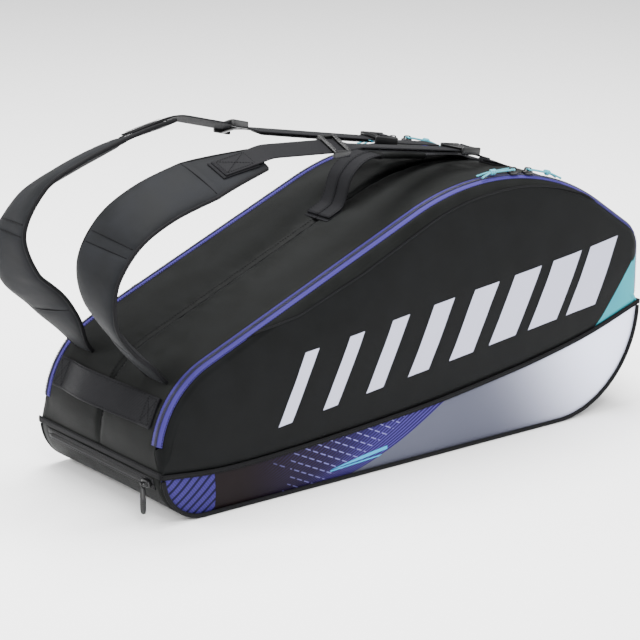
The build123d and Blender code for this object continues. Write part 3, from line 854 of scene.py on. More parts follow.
def lowerBand(side, sign):
    s = footTrack["s"]
    x = bag["narrow"] + (bag["wide"] - bag["narrow"]) * s / s[-1]
    roundness = 0.005 * np.minimum(s / 0.02, (s[-1] - s) / 0.02).clip(0.25, 1)
    rim = footTrack["p"] - footTrack["n"] * roundness[:, None]
    head = np.stack([x, seamHeight(x) - 0.001], 1)
    rows, spots = [], []
    for share in np.linspace(0, 1, 16):
        spot = head + (rim - head) * share
        wave = ripple(spot[:, 0], 3 * sign, spot[:, 1], 0.05, 0.0009) * sin(pi * share)
        puff = 0.0018 * sin(pi * share) * np.minimum(1, np.hypot(*(rim - head).T) / 0.04)
        rows.append(rise3(spot, sign * (bag["side"] + puff + wave - 0.0006)))
        spots.append(spot)
    for turn in np.linspace(0, pi / 2, 5)[1:]:
        spot = rim + footTrack["n"] * (roundness * sin(turn))[:, None]
        y = bag["side"] - roundness * (1 - cos(turn)) - 0.0006
        rows.append(rise3(spot, sign * y))
        spots.append(rim + footTrack["n"] * (roundness * turn)[:, None])
    piece = sheetPiece(f"lowerBand.{side}", rows, spots, "band", (0, 0, 0.1))
    piece.data.materials.append(look["cloth"])
    wrap = len(piece.data.polygons) // (len(rows) - 1) * 3
    for polygon in piece.data.polygons[-wrap:]:
        polygon.material_index = 1
    thicken(piece, thickness["body"], "lining")
    return finishPiece(piece, "shell", [f"lower_band_{side}"])


def basePanel():
    s, p, n = footTrack["s"], footTrack["p"], footTrack["n"]
    rows, spots = [], []
    for y in np.linspace(-0.1262, 0.1262, 31):
        sag = 0.0012 * cos(pi * y / 0.2524)
        wave = ripple(s, y, 1.0, 0.05, 0.0008)
        rows.append(rise3(p - n * (sag + np.abs(wave) * cos(pi * y / 0.2524))[:, None], y))
        spots.append(np.stack([s, np.full_like(s, y)], 1))
    piece = sheetPiece("basePanel", rows, spots, "cloth", (0, 0, 0.1), thickness["body"], "lining")
    return finishPiece(piece, "shell", ["base_panel"])


def divider():
    # quilted panel that parts the two compartments
    low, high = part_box("divider")
    xs = np.linspace(low.x, high.x, 110)
    rows, spots = [], []
    for share in np.linspace(0, 1, 42):
        under = np.maximum(low.z + 0.001, trackHeight(footTrack, xs) + 0.006)
        z = under + (np.minimum(trackHeight(topTrack, xs) - 0.0065, high.z) - under) * share
        rows.append(np.stack([xs, 0 * xs, z], 1))
        spots.append(np.stack([xs, z], 1))
    centre, flat = np.stack(rows), np.stack(spots)
    quilt = np.abs(np.sin(pi * (flat[..., 0] + flat[..., 1]) / 0.07) *
        np.sin(pi * (flat[..., 0] - flat[..., 1]) / 0.07)) ** 0.5
    halves = []
    for sign in (-1, 1):
        points = centre.copy()
        points[..., 1] += sign * (0.0006 + 0.0014 * quilt)
        halves.append(sheetPiece("half", points, flat, "lining", (0, -sign, 0.15)))
    piece = joinPieces("divider", halves)
    return finishPiece(piece, "shell", ["divider"])


def trims():
    for side, sign in sides:
        x = np.linspace(bag["narrow"] - 0.001, bag["wide"] + 0.001, 160)
        path = np.stack([x, 0 * x + sign * (bag["side"] + 0.0008), seamHeight(x)], 1)
        strip = sweepPiece("strip", path, (0, 0, 1), strapProfile(0.0062, 0.0026, 0.5, 4), ["binding"])
        seams = [stitchRow(path + np.array([0, sign * 0.0013, lane]), (0, sign, 0), 0.0036, 0.0024) for lane
            in (-0.0016, 0.0016)]
        strip = joinPieces(f"sideBinding.{side}", [strip] + seams)
        finishPiece(strip, "shell", [f"side_binding_{side}"])
        edge = part(footTrack, 0.004, footTrack["s"][-1] - 0.004)
        line = rise3(edge["p"] - edge["n"] * 0.0026, sign * (bag["side"] + 0.0018))
        pipe = sweepPiece(f"piping.{side}", line, (0, 1, 0), tubeProfile(0.0026, 12), ["binding"])
        finishPiece(pipe, "shell", [f"piping_{side}"])
    y = np.linspace(-0.1315, 0.1315, 60)
    for name, node, way, x, z, tall, lane in (("narrowEndFlap", "narrow_end_flap", -1, bag["narrow"], 0.062,
            0.0082, 0.0024), ("wideEndBinding", "wide_end_binding", 1, bag["wide"], bag["seamWide"], 0.0064,
            0)):
        path = np.stack([0 * y + x + way * 0.0011, y, 0 * y + z], 1)
        strip = sweepPiece("strip", path, (0, 0, 1), strapProfile(tall, 0.0026, 0.5, 4), ["binding"])
        seam = stitchRow(path + np.array([way * 0.0013, 0, lane]), (way, 0, 0))
        finishPiece(joinPieces(name, [strip, seam]), "shell", [node])


def endZip():
    low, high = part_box("end_zip")
    track = part(footTrack, stationAt(footTrack, z=high.z), stationAt(footTrack, z=low.z))
    middle = stationAt(footTrack, z=bag["endZip"])
    pieces = []
    for place, (a, b) in enumerate(((track["s"][0], middle - 0.0006), (middle + 0.0006, track["s"][-1]))):
        s = np.linspace(a, b, 5)
        p, n = (sample(footTrack["s"], footTrack[key], s) for key in "pn")
        y = np.linspace(low.y, high.y, 40)
        points = np.stack([rise3(p + n * zipper["lift"], v) for v in y])
        flat = np.stack([np.stack([0 * s + v, s], 1) for v in y])
        pieces.append(sheetPiece("tape", points, flat, "darkTape", (0, 0, 0.05), thickness["tape"]))
        out = unit(np.array([n[2, 0], 0, n[2, 1]]))
        inner = p[place - 1]
        run = np.array([[inner[0], v, inner[1]] for v in y[1:-1]]) + out * zipper["lift"]
        down = unit(np.array([p[-1][0] - p[0][0], 0, p[-1][1] - p[0][1]]))
        near, far = zipper["endTooth"]
        spanLow, spanHigh = ((-far, near), (-near, far))[place]
        pieces.append(coilTeeth(run, out, down, spanLow, spanHigh, 0.5 * place, "puller"))
        line = points[:, 1 if place == 0 else 3] + out * 0.0004
        pieces.append(stitchRow(line, out))
    finishPiece(joinPieces("endZip", pieces), "shell", ["end_zip"])


for side, sign in sides:
    sideFabric(side, sign)
    facing(side, sign)
    tapes(side, sign)
    gusset(side, sign)
    lowerBand(side, sign)
basePanel()
divider()
trims()
endZip()
print("shell done")


class Seat:
    # local axes on the bag: run along the zip, across it, and out of the cloth
    def __init__(self, origin, run, out):
        self.origin = np.asarray(origin, float)
        self.run = unit(np.asarray(run, float))
        self.out = unit(np.asarray(out, float))
        self.wide = np.cross(self.out, self.run)

    def at(self, a, b, c):
        return self.origin + (self.run * a + self.wide * b + self.out * c) / 1000

    def path(self, spots):
        return np.array([self.at(*spot) for spot in spots])

    def block(self, centre, size, paint, soften=0.9):
        return block(self.at(*centre), (self.run, self.wide, self.out), np.asarray(size) / 1000, paint,
            soften / 1000)

    def blocks(self, rows, paint):
        return [self.block(centre, size, paint, soften) for centre, size, soften in rows]


def crownSeat(x, y):
    centreX, centreZ = bag["crownCentre"]
    turn = asin((x - centreX) / bag["crown"])
    out = np.array([sin(turn), 0, cos(turn)])
    origin = np.array([centreX, y, centreZ]) + out * bag["crown"]
    return Seat(origin, (cos(turn), 0, -sin(turn)), out)


def slider(name, seat, body, node):
    # enamelled slider: waisted plate with side flanges and an arched bridge
    rim = []
    for k in range(28):
        turn = 2 * pi * k / 28
        nose = 1 - 0.16 * cos(turn)
        rim.append((7.6 * cos(turn) * (abs(cos(turn)) ** -0.25 if abs(cos(turn)) > 0.1 else 1),
            4.9 * nose * signed(sin(turn), 0.6)))
    points, flat = [], []
    for height, size in ((1.6, 0.9), (2.2, 1.0), (5.2, 1.0), (5.9, 0.93), (6.1, 0.7)):
        for a, b in rim:
            points.append(seat.at(a * size, b * size, height))
            flat.append((a * size / 1000, (b * size + height) / 1000))
    plate = ringStack("plate", points, flat, 28, "metal")
    arch = smoothPath(seat.path([(-5.3, 0, 5.4), (-5.2, 0, 8.2), (-3.6, 0, 9.8), (0, 0, 10.1),
        (3.6, 0, 9.8), (5.2, 0, 8.2), (5.3, 0, 5.4)]), 0.0007)
    bridge = sweepPiece("bridge", arch, seat.wide, strapProfile(0.0032, 0.0011, 0.5, 4), ["metal"])
    finishPiece(joinPieces(name, [plate, bridge]), body, [node])


pull = {"cord": 0.00125, "knot": 0.0015, "tail": 0.00122, "fray": 1.2}


def knottedPull(name, seat, way, body, node):
    # cord looped through the bridge, knotted, with two short tails
    def spots(rows):
        return smoothPath(seat.path([(way * a, b, c) for a, b, c in rows]), 0.0008)

    loop = spots([(33, 1.4, 5.2), (24, 2.6, 6.0), (12, 3.3, 7.1), (4, 3.5, 7.6), (0.9, 3.5, 7.6),
        (0.0, 2.6, 7.6), (-0.1, 0, 7.6), (0.0, -2.6, 7.6), (0.9, -3.5, 7.6), (4, -3.5, 7.6),
        (12, -3.2, 7.1), (24, -2.4, 6.0), (33, -1.4, 5.2)])
    twist = [(30.6 + 7.2 * t, 2.25 * cos(2 * pi * 2.6 * t), 5.3 + 2.25 * sin(2 * pi * 2.6 * t) - 0.6 * t)
        for t in np.linspace(0, 1, 40)]
    knot = smoothPath(seat.path([(way * a, b, c) for a, b, c in twist]), 0.0006)
    pieces = [sweepPiece("cord", loop, seat.out, tubeProfile(pull["cord"], 10), ["cord"]),
        sweepPiece("cord", knot, seat.run, tubeProfile(pull["knot"], 10), ["cord"])]
    for lane in (-1, 1):
        tail = spots([(31, 0.6 * lane, 5.0), (38.5, 1.3 * lane, 4.6), (46, 3.2 * lane, 2.6),
            (52, 4.4 * lane, 0.6), (55.4, 5.2 * lane, -0.5)])
        fray = np.ones((len(tail), 2))
        fray[-3:] = pull["fray"]
        pieces.append(sweepPiece("cord", tail, seat.out, tubeProfile(pull["tail"], 10), ["cord"],
            scale=fray))
    finishPiece(joinPieces(name, pieces), body, [node])


for side, sign in sides:
    for place, x, way in (("left", 0.163, -1), ("right", 0.188, 1)):
        seat = crownSeat(x, sign * bag["zip"])
        slider(f"slider.{place}.{side}", seat, f"slider_{place}_{side}", f"slider_{place}_{side}")
        knottedPull(f"pull.{place}.{side}", seat, way, f"pull_{place}_{side}", f"pull_{place}_{side}")

footRound = bag["narrowFoot"]
droop = asin((footRound - bag["endZip"]) / footRound)
endOut = np.array([-cos(droop), 0, -sin(droop)])
endSeat = Seat(np.array([bag["narrow"] + footRound, -0.104, footRound]) + endOut * footRound, (0, -1, 0),
    endOut)
slider("endSlider", endSeat, "end_slider", "end_slider")


def endPuller():
    low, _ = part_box("end_puller")
    eye = endSeat.at(0, 0, 8.95)
    turns = np.linspace(0, 2 * pi, 33)[:-1]
    ring = np.array([eye + np.array([0.0027 * cos(t), 0, 0.0027 * sin(t)]) for t in turns])
    ring = np.vstack([ring, ring[:1]])
    wire = sweepPiece("wire", ring, (0, 1, 0), tubeProfile(0.0007, 8), ["metal"], caps=False)
    top, foot = eye[2] - 0.0030, low.z
    outline = []
    for k in range(36):
        turn = 2 * pi * k / 36
        wide, tall = 0.0045 * signed(cos(turn), 0.55), signed(sin(turn), 0.7)
        outline.append((wide * (0.86 + 0.14 * (1 - tall) / 2), (tall + 1) / 2))
    points, flat = [], []
    for depth, size in ((-0.0017, 0.86), (-0.0013, 1.0), (0.0013, 1.0), (0.0017, 0.86), (0.0012, 0.72)):
        for a, b in outline:
            z = foot + (top - foot) * (0.5 + (b - 0.5) * (1 - (1 - size) * 0.28))
            points.append((eye[0] - depth, eye[1] + a * size, z))
            flat.append((a * size, z + depth))
    bar = ringStack("bar", points, flat, 36, "puller")
    ribs = [block((eye[0] - 0.0015, eye[1], foot + 0.006 + i * 0.0022), ((1, 0, 0), (0, 1, 0), (0, 0, 1)),
        (0.0009, 0.0052, 0.0009), "puller", 0.0003) for i in range(6)]
    finishPiece(joinPieces("endPuller", [wire, bar] + ribs), "end_puller", ["end_puller"])


endPuller()
print("sliders done")


def inflate(piece, held, cap, pressure=4.0, frames=20):
    # cloth simulation: the closed cover fills out between the seams that hold it
    mesh = piece.data
    scene = bpy.context.scene
    before = np.array([v.co for v in mesh.vertices])
    group = piece.vertex_groups.new(name="held")
    group.add([int(v) for v in held], 1.0, "REPLACE")
    cloth = piece.modifiers.new("cover", "CLOTH")
    setting = cloth.settings
    setting.quality = 6
    setting.mass = 0.02
    setting.use_pressure = True
    setting.uniform_pressure_force = pressure
    setting.effector_weights.gravity = 0
    setting.tension_stiffness = 12
    setting.compression_stiffness = 12
    setting.shear_stiffness = 4
    setting.bending_stiffness = 0.05
    setting.vertex_group_mass = "held"
    cloth.collision_settings.use_collision = False
    cloth.point_cache.frame_start = 1
    cloth.point_cache.frame_end = frames
    for moment in range(1, frames + 1):
        scene.frame_set(moment)
    graph = bpy.context.evaluated_depsgraph_get()
    after = np.array([v.co for v in piece.evaluated_get(graph).data.vertices])
    moved = after - before
    size = np.linalg.norm(moved, axis=1, keepdims=True)
    moved = np.where(np.isfinite(moved), moved, 0) * np.minimum(1, cap / np.maximum(size, 1e-9))
    print("cover moved", piece.name, round(float(size.max()) * 1000, 2), "mm at most")
    piece.modifiers.clear()
    scene.frame_set(1)
    mesh.vertices.foreach_set("co", (before + moved).astype(np.float32).ravel())
    mesh.update()
    return piece


def boxSeam(seat, length, width, height):
    # stitched rectangle with a cross, sewn through a webbing patch
    a, b = length / 2, width / 2
    seams = []
    for row in ([(-a, -b), (a, -b), (a, b), (-a, b), (-a, -b)], [(-a, -b), (a, b)], [(-a, b), (a, -b)]):
        for first, last in zip(row[:-1], row[1:]):
            spots = np.linspace(first, last, 12)
            line = np.array([seat.at(*spot, height) for spot in spots])
            seams.append(stitchRow(line, seat.out, 0.0034, 0.0023))
    return joinPieces("seam", seams)


def grabHandle():
    lean = radians(26)
    out = np.array([-cos(lean), 0, sin(lean)])
    up = np.array([sin(lean), 0, cos(lean)])
    foot = np.array([narrowTopCentre[0], 0, narrowTopCentre[1]]) + out * bag["narrowTop"]
    grab = {"reach": 0.104, "free": 0.082, "bow": 0.0255, "width": 0.038, "thick": 0.003}
    y = np.linspace(-grab["reach"], grab["reach"], 120)
    lift = grab["bow"] * np.cos(pi / 2 * (y / grab["free"]).clip(-1, 1)) ** 1.25
    path = foot + np.stack([0 * y, y, 0 * y], 1) + out * (0.0021 + lift)[:, None]
    parts = [sweepPiece("web", path, up, strapProfile(grab["width"], grab["thick"], 0.28, 8), ["webbing"])]
    for sign in (-1, 1):
        seat = Seat(foot + np.array([0, sign * 0.093, 0]), (0, 1, 0), out)
        parts.append(boxSeam(seat, 17, 32, 3.8))
    for lane in (-0.0165, 0.0165):
        parts.append(stitchRow(path[14:-14] + up * lane + out * 0.0016, out))
    finishPiece(joinPieces("grabHandle", parts), "shell", ["grab_handle"])


def carryHandle():
    handle = [(-0.054, 0.2978), (-0.042, 0.3028), (-0.0325, 0.3085), (-0.0265, 0.3195), (-0.0175, 0.344),
        (0.004, 0.3615), (0.036, 0.3655), (0.090, 0.3575), (0.140, 0.3522), (0.163, 0.3482),
        (0.177, 0.3426), (0.196, 0.3382)]
    for side, sign in sides:
        path = smoothPath([(x, sign * 0.0115, z) for x, z in handle], 0.0035)
        web = sweepPiece("web", path, (0, 1, 0), strapProfile(0.022, 0.0024, 0.28, 6), ["webbing"])
        up = unit(np.cross((0, -1, 0), np.gradient(path, axis=0)))
        seams = [stitchRow(path + np.array([0, lane, 0]) + up * 0.0013, up) for lane in (-0.009, 0.009)]
        web = joinPieces(f"carryWebbing.{side}", [web] + seams)
        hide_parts(f"carry_webbing_{side}")
        hinge, lean = Vector((-0.030, 0, 0.307)), Vector((-0.2066, 0, 0.9784))
        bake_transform(web)
        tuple(hinge)
    path = smoothPath([(0.028, 0, 0.3657), (0.062, 0, 0.3621), (0.101, 0, 0.3562)], 0.002)
    count = len(path)
    t = np.linspace(-1, 1, count)
    scale = np.stack([1 - 0.05 * np.abs(t) ** 4, 1.0 - 0.25 * np.abs(t) ** 3], 1)
    profile = strapProfile(0.051, 0.0125, 0.55, 10)
    sleeve = sweepPiece("sleeve", path, (0, 1, 0), profile, ["cloth"], scale=scale)
    girth = len(profile)
    inflate(sleeve, [k * girth + j for k in range(count) for j in range(girth) if k in
        (0, 1, count - 2, count - 1)], 0.0015)
    parts = [sleeve]
    for end in (1, count - 2):
        run = unit(path[end + 1] - path[end - 1])
        out = np.cross(run, (0, 1, 0))
        ring = np.array([path[end] + np.array([0, 1, 0]) * a * scale[end][0] + out * b * scale[end][1] for
            a, b in profile + profile[:1]])
        parts.append(sweepPiece("edge", ring, run, tubeProfile(0.0013, 8), ["binding"], caps=False))
    seamLine = path[2:-2] + np.array([0, -0.0175, 0])
    up = unit(np.cross((0, -1, 0), np.gradient(seamLine, axis=0)))
    parts.append(stitchRow(seamLine + up * 0.0056, up))
    wrap = joinPieces("handleWrap", parts)
    finishPiece(wrap, "carry_handle", ["handle_wrap"])
    parts = []
    slope = radians(topRise)
    start = np.array([narrowTopCentre[0] - bag["narrowTop"] * sin(slope), 0,
        narrowTopCentre[1] + bag["narrowTop"] * cos(slope)])
    for x in (-0.044, 0.186):
        if x < 0:
            origin = np.array([x, 0, start[2] + (x - start[0]) * sin(slope) / cos(slope)])
            seat = Seat(origin, (cos(slope), 0, sin(slope)), (-sin(slope), 0, cos(slope)))
        else:
            seat = crownSeat(x, 0)
        for lane in (-11.5, 11.5):
            spot = Seat(seat.at(0, lane, 0), seat.run, seat.out)
            parts.append(spot.block((0, 0, 1.4), (28, 22, 2.4), "webbing"))
            parts.append(boxSeam(spot, 22, 17, 2.8))
    finishPiece(joinPieces("handlePatches", parts), "shell", ["handle_patches"])


grabHandle()
carryHandle()
print("handles done")


strap = {"lane": 0.077, "lockLane": 0.050, "roll": radians(22), "padWidth": 0.075, "padThick": 0.013,
    "webWidth": 0.030, "webThick": 0.0022, "seat": 0.0091, "anchorX": 0.196,
    "near": {"spine": [(-0.366, 0.188), (-0.402, 0.219), (-0.426, 0.258), (-0.426, 0.303), (-0.398, 0.343),
    (-0.352, 0.369), (-0.293, 0.386), (-0.253, 0.394), (-0.205, 0.401)], "glide": (-0.091, 0.403),
    "lock": (0.135, 0.365)}, "far": {"spine": [(-0.364, 0.190), (-0.400, 0.226), (-0.438, 0.266),
    (-0.449, 0.315), (-0.418, 0.361), (-0.370, 0.384), (-0.318, 0.401), (-0.270, 0.413), (-0.225, 0.421)],
    "glide": (-0.131, 0.405), "lock": (0.084, 0.368)},}


def strapWeb(name, path, across, thick, wider=0.0):
    profile = strapProfile(strap["webWidth"] + wider, thick, 0.25, 6)
    return sweepPiece(name, path, across, profile, ["webbing"])


def padProfile():
    # crowned outer face, flatter mesh underside, slim sewn edges
    loop = []
    for k in range(48):
        turn = 2 * pi * (k + 0.5) / 48
        a, b = signed(cos(turn), 0.62), signed(sin(turn), 0.85)
        loop.append((a * 0.5, b * (0.5 if b > 0 else 0.42)))
    return loop


def padSeams(length):
    # cross seams: distance from the root, how deep they pull in, half width
    return ((0.078, 0.22, 0.004), (0.198, 0.34, 0.004), (0.208, 0.34, 0.004), (length - 0.084, 0.30, 0.004))


def shoulderPad(side, sign):
    root = np.array([narrowTopCentre[0], 0, narrowTopCentre[1]])
    rootOut = np.array([-sin(pi / 4), 0, cos(pi / 4)])
    base = root + rootOut * (bag["narrowTop"] - 0.001)
    mid = root + rootOut * (bag["narrowTop"] + 0.014)
    spots = [(base[0], base[2]), (mid[0], mid[2])] + strap[side]["spine"][1:]
    path = smoothPath([(x, sign * strap["lane"], z) for x, z in spots], 0.004)
    travel = lengths(path)
    roll = strap["roll"] * ease(((travel - 0.01) / 0.08).clip(0, 1))
    across = np.stack([0 * roll, np.cos(roll), -sign * np.sin(roll)], 1)
    nearRoot = ease(((travel - 0.004) / 0.060).clip(0, 1))
    fromTip = travel[-1] - travel
    tabShare = (fromTip / 0.085).clip(0, 1)
    tabStep = ((fromTip - 0.070) / 0.016).clip(0, 1)
    wide = strap["padWidth"] * (0.53 + 0.47 * nearRoot) * (0.56 + 0.44 * tabShare)
    thick = strap["padThick"] * (0.42 + 0.58 * nearRoot) * (0.5 + 0.5 * ease(tabStep))
    for spot, depth, size in padSeams(travel[-1]):
        thick = thick * (1 - depth * np.exp(-((travel - spot) / size) ** 2))
    thick = thick * (1 + ripple(travel, 2 * sign, 0, 0.02, 0.06))
    scale = np.stack([wide, thick], 1)
    profile = padProfile()
    which = [0 if (a[1] + b[1]) > 0 else 1 for a, b in zip(profile, profile[1:] + profile[:1])]
    pad = sweepPiece("pad", path, across, profile, ["pad", "mesh"], scale, which=which)
    girth = len(profile)
    held = []
    for k, spot in enumerate(travel):
        sewn = min(abs(spot - seam) for seam, _, _ in padSeams(travel[-1])) < 0.0035
        sewn = sewn or spot < 0.035 or spot > travel[-1] - 0.066
        for j, (a, _) in enumerate(profile):
            if sewn or abs(a) > 0.485:
                held.append(k * girth + j)
    inflate(pad, held, 0.0030)
    along = unit(np.gradient(path, axis=0))
    flatWide = unit(across - along * (across * along).sum(1, keepdims=True))
    out = np.cross(along, flatWide)
    reach = flatWide * (wide / 2 - 0.0006)[:, None]
    tip = [path[-1] + flatWide[-1] * wide[-1] / 2 * cos(t) * 0.97 + along[-1] * 0.0015 * sin(t) for t in
        np.linspace(0, pi, 14)[1:-1]]
    line = np.vstack([path + reach, tip, (path - reach)[::-1]])
    outs = np.vstack([out, np.repeat(out[-1:], len(tip), 0), out[::-1]])
    edging = sweepPiece("edging", line, outs, strapProfile(0.0052, 0.0040, 0.8, 5), ["binding"])
    parts = [pad, edging]
    for spot, _, _ in padSeams(travel[-1]):
        k = int(np.argmin(np.abs(travel - spot)))
        row = np.linspace(-0.44, 0.44, 24)
        crown = np.abs(1 - np.abs(row * 2) ** (1 / 0.62)).clip(0, 1) ** 0.45 * 0.5
        seamLine = path[k] + flatWide[k] * (row * wide[k])[:,
            None] + out[k] * (crown * thick[k] + 0.0006)[:, None]
        parts.append(stitchRow(seamLine + out[k] * 0.0004, out[k]))
        # a dark thread-coloured line along each cross seam: painted shade in the seam's crease
        parts.append(sweepPiece("seamShadeLine", seamLine, out[k], tubeProfile(0.0007, 6), ["thread"]))
    piece = joinPieces(f"shoulderPad.{side}", parts)
    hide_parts(f"shoulder_pad_{side}", f"strap_root_{side}")
    low, high = path[1], path[int(np.argmin(np.abs(travel - 0.05)))]
    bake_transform(piece)
    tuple(low)
    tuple(high)
    onTop = path + out * (thick / 2)[:, None]
    return {"top": onTop, "out": out, "wide": flatWide, "fromTip": fromTip}


def strapWebbing(side, sign, pad):
    data = strap[side]
    strapLane, lockLane = sign * strap["lane"], sign * strap["lockLane"]
    endX, endZ = data["spine"][-1]
    padEnd = np.array([endX, strapLane, endZ + strap["seat"]])
    glide = np.array([data["glide"][0], strapLane, data["glide"][1]])
    lock = np.array([data["lock"][0], lockLane, data["lock"][1]])
    first = unit(glide - padEnd)
    rolledWide = np.array([0, cos(strap["roll"]), -sign * sin(strap["roll"])])
    rolledWide = unit(rolledWide - first * (rolledWide @ first))
    firstOut = np.cross(first, rolledWide)
    firstLength = float(np.linalg.norm(glide - padEnd))
    knee = padEnd + first * (firstLength + 0.0145)
    second = unit(lock - knee)
    level = unit(np.cross((0, 0, 1), second))
    secondOut = np.cross(second, level)
    tab = (pad["fromTip"] < 0.058) & (pad["fromTip"] > 0.003)
    seated = pad["top"][tab] + pad["out"][tab] * 0.0026
    rise = ((0.030 - pad["fromTip"][tab]) / 0.027).clip(0, 1)[:, None] * 0.0012
    seated = seated + pad["out"][tab] * rise
    level0 = padEnd + first * 0.013
    path = np.vstack([seated[::2][:-1], smoothPath([seated[-1], level0], 0.004)[:-1],
        smoothPath([level0, knee], 0.004)[:-1], smoothPath([knee, lock], 0.004)])
    for _ in range(3):
        path[1:-1] = (path[:-2] + path[1:-1] * 2 + path[2:]) / 4
    turn = ((path[:, 0] - (knee[0] - 0.01)) / 0.03).clip(0, 1)[:, None]
    wide = unit(rolledWide * (1 - turn) + level * turn)
    web = strapWeb(f"strapWebbing.{side}", path, wide, strap["webThick"])
    finishPiece(web, f"strap_{side}", [f"strap_webbing_{side}"])
    sewn = (pad["fromTip"] < 0.062) & (pad["fromTip"] > 0.006)
    under = pad["top"][sewn] + pad["out"][sewn] * 0.0010
    patch = strapWeb("patch", under, pad["wide"][sewn], 0.0018, 0.003)
    middle = int(np.sum(sewn)) // 2
    spot = Seat(under[middle] + pad["out"][sewn][middle] * 0.0015, under[-1] - under[0],
        pad["out"][sewn][middle])
    seam = boxSeam(spot, 40, 24, 1.7)
    finishPiece(joinPieces(f"padPatch.{side}", [patch, seam]), f"strap_{side}", [f"pad_patch_{side}"])
    secondLength = float(np.linalg.norm(lock - knee))
    tailRun = np.array([knee + second * a - secondOut * drop for a,
        drop in ((0.024, 0.0033), (0.060, 0.0036), (secondLength - 0.055, 0.0035),
        (secondLength - 0.020, 0.0030))])
    tail = strapWeb(f"strapTail.{side}", smoothPath(tailRun, 0.005), level, 0.0019)
    finishPiece(tail, f"strap_{side}", [f"strap_tail_{side}"])
    glideSeat = Seat(padEnd + first * firstLength, first, firstOut)
    parts = [((0, lane * 18, 0), (25, 4.2, 9.2), 1.4) for lane in (-1, 1)]
    parts += [((x, 0, 3.1), (5, 39, 3.2), 1.2) for x in (-10, 10)]
    parts.append(((0, 0, -3.1), (5, 38, 3.0), 1.2))
    parts += [((x + dx, 0, 4.8), (0.8, 33, 0.8), 0.3) for x in (-10, 10) for dx in (-1.4, 0, 1.4)]
    parts = glideSeat.blocks(parts, "buckle")
    finishPiece(joinPieces(f"triGlide.{side}", parts), f"tri_glide_{side}", [f"tri_glide_{side}"])
    lockSeat = Seat(lock, second, secondOut)
    parts = [((0, lane * 18, 0.4), (34, 4.2, 10.2), 1.6) for lane in (-1, 1)]
    parts += [((-12.5, 0, 3.6), (9, 39, 4), 1.6), ((-3, 0, -3.2), (4, 38, 3), 1.2),
        ((14.5, 0, 1.6), (5, 39, 4.4), 1.5)]
    parts += [((-16 + 1.9 * i, 0, 5.7), (0.9, 30 - 1.2 * abs(i - 2), 0.8), 0.3) for i in range(5)]
    parts = lockSeat.blocks(parts, "buckle")
    finishPiece(joinPieces(f"ladderLock.{side}", parts), f"strap_{side}", [f"ladder_lock_{side}"])
    anchor = crownSeat(strap["anchorX"], lockLane)
    begin = lockSeat.at(12.5, 0, -3.2)
    stop = np.array([0.174, lockLane, 0.3500])
    link = smoothPath([lockSeat.at(15.6, 0, 3.9), lockSeat.at(17.6, 0, 1.5), lockSeat.at(16, 0, -2.4),
        begin + (stop - begin) * 0.5, stop], 0.0018)
    web = strapWeb("web", link, (0, 1, 0), 0.002)
    fold = smoothPath([lockSeat.at(15.6, 0, 3.9), lockSeat.at(11.4, 0, 3.6), lockSeat.at(10.6, 0, 0.5),
        lockSeat.at(12, 0, -1.6)], 0.0014)
    turned = strapWeb("web", fold, (0, 1, 0), 0.0018)
    finishPiece(joinPieces(f"lockWebbing.{side}", [web, turned]), f"strap_{side}", [f"lock_webbing_{side}"])
    tongue = smoothPath([anchor.at(-17, 0, 7.0), anchor.at(-8, 0, 5.4), anchor.at(4, 0, 3.2),
        anchor.at(17, 0, 1.4)], 0.002)
    layer = strapWeb("web", tongue, anchor.wide, 0.003)
    pad = anchor.block((0, 0, 1.2), (33, 31, 2.0), "cloth")
    filler = smoothPath([anchor.at(-16.6, 0, 3.6), anchor.at(-4, 0, 2.6), anchor.at(8, 0, 1.6)], 0.002)
    under = strapWeb("web", filler, anchor.wide, 0.0028, -0.001)
    finishPiece(joinPieces(f"strapAnchor.{side}", [layer, pad, under]), "shell", [f"strap_anchor_{side}"])


for side, sign in sides:
    strapWebbing(side, sign, shoulderPad(side, sign))
board = bpy.data.objects["base_board"]
board.data.materials.clear()
board.data.materials.append(look["board"])
print("straps done")


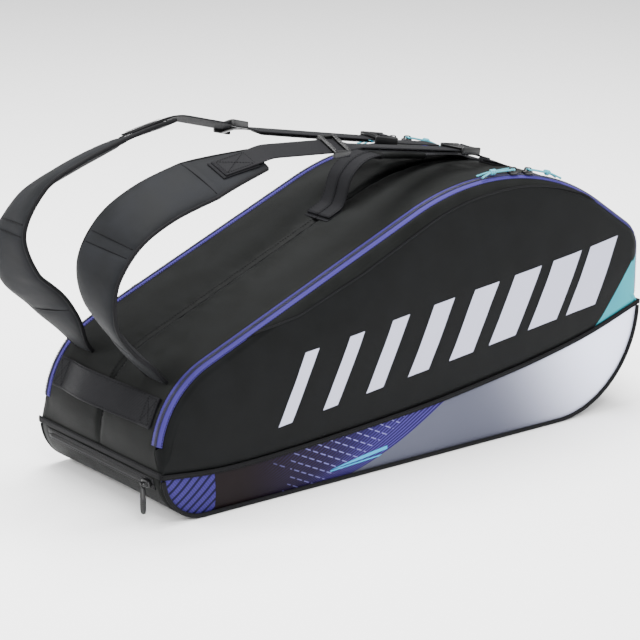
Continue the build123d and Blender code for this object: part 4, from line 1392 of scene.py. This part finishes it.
def studio():
    floorPaint = Paint("paleFloor", roughness=0.9)
    floorPaint.put("Base Color", linear(253, 253, 253))
    size = 12.0
    floor = makePiece("floor", [(-size, -size, -0.0005), (size, -size, -0.0005), (size, size, -0.0005),
        (-size, size, -0.0005)], [(0, 1, 2, 3)], [(0, 0), (1, 0), (1, 1), (0, 1)], [floorPaint.material])
    lights = (("key", (-1.2, -2.4, 3.0), 2.0, 190), ("fill", (2.8, -2.2, 1.8), 2.0, 80),
        ("top", (0.1, 0.5, 3.2), 2.0, 300), ("rim", (-2.8, 1.6, 1.8), 1.4, 125))
    for name, spot, size, power in lights:
        lamp = bpy.data.lights.new(name, "AREA")
        lamp.energy = power
        lamp.size = size
        lampObject = bpy.data.objects.new(name, lamp)
        bpy.context.scene.collection.objects.link(lampObject)
        lampObject.location = spot
        lampObject.rotation_euler = (Vector((-0.05, 0, 0.16)) - Vector(spot)).to_track_quat("-Z",
            "Y").to_euler()
    world = bpy.data.worlds.new("studio")
    bpy.context.scene.world = world
    world.use_nodes = True
    world.node_tree.nodes["Background"].inputs[0].default_value = (1, 1, 1, 1)
    world.node_tree.nodes["Background"].inputs[1].default_value = 0.7


def mainCamera():
    shot = {"azimuth": radians(-38.197), "elevation": radians(16.455), "roll": radians(0.447),
        "distance": 3.0, "lens": 133.96, "target": (-0.049134, 0.0, 0.160277)}
    a, e, r = shot["azimuth"], shot["elevation"], shot["roll"]
    back = Vector((sin(a) * cos(e), -cos(a) * cos(e), sin(e)))
    right = Vector((cos(a), sin(a), 0))
    up = back.cross(right)
    right, up = right * cos(r) + up * sin(r), up * cos(r) - right * sin(r)
    camera = bpy.data.cameras.new("camera")
    camera.lens = shot["lens"]
    camera.sensor_width = 36
    camera.clip_start = 0.05
    holder = bpy.data.objects.new("camera", camera)
    bpy.context.scene.collection.objects.link(holder)
    place = Matrix((right, up, back)).transposed().to_4x4()
    place.translation = Vector(shot["target"]) + back * shot["distance"]
    holder.matrix_world = place
    bpy.context.scene.camera = holder


studio()
mainCamera()
print("scene ready")
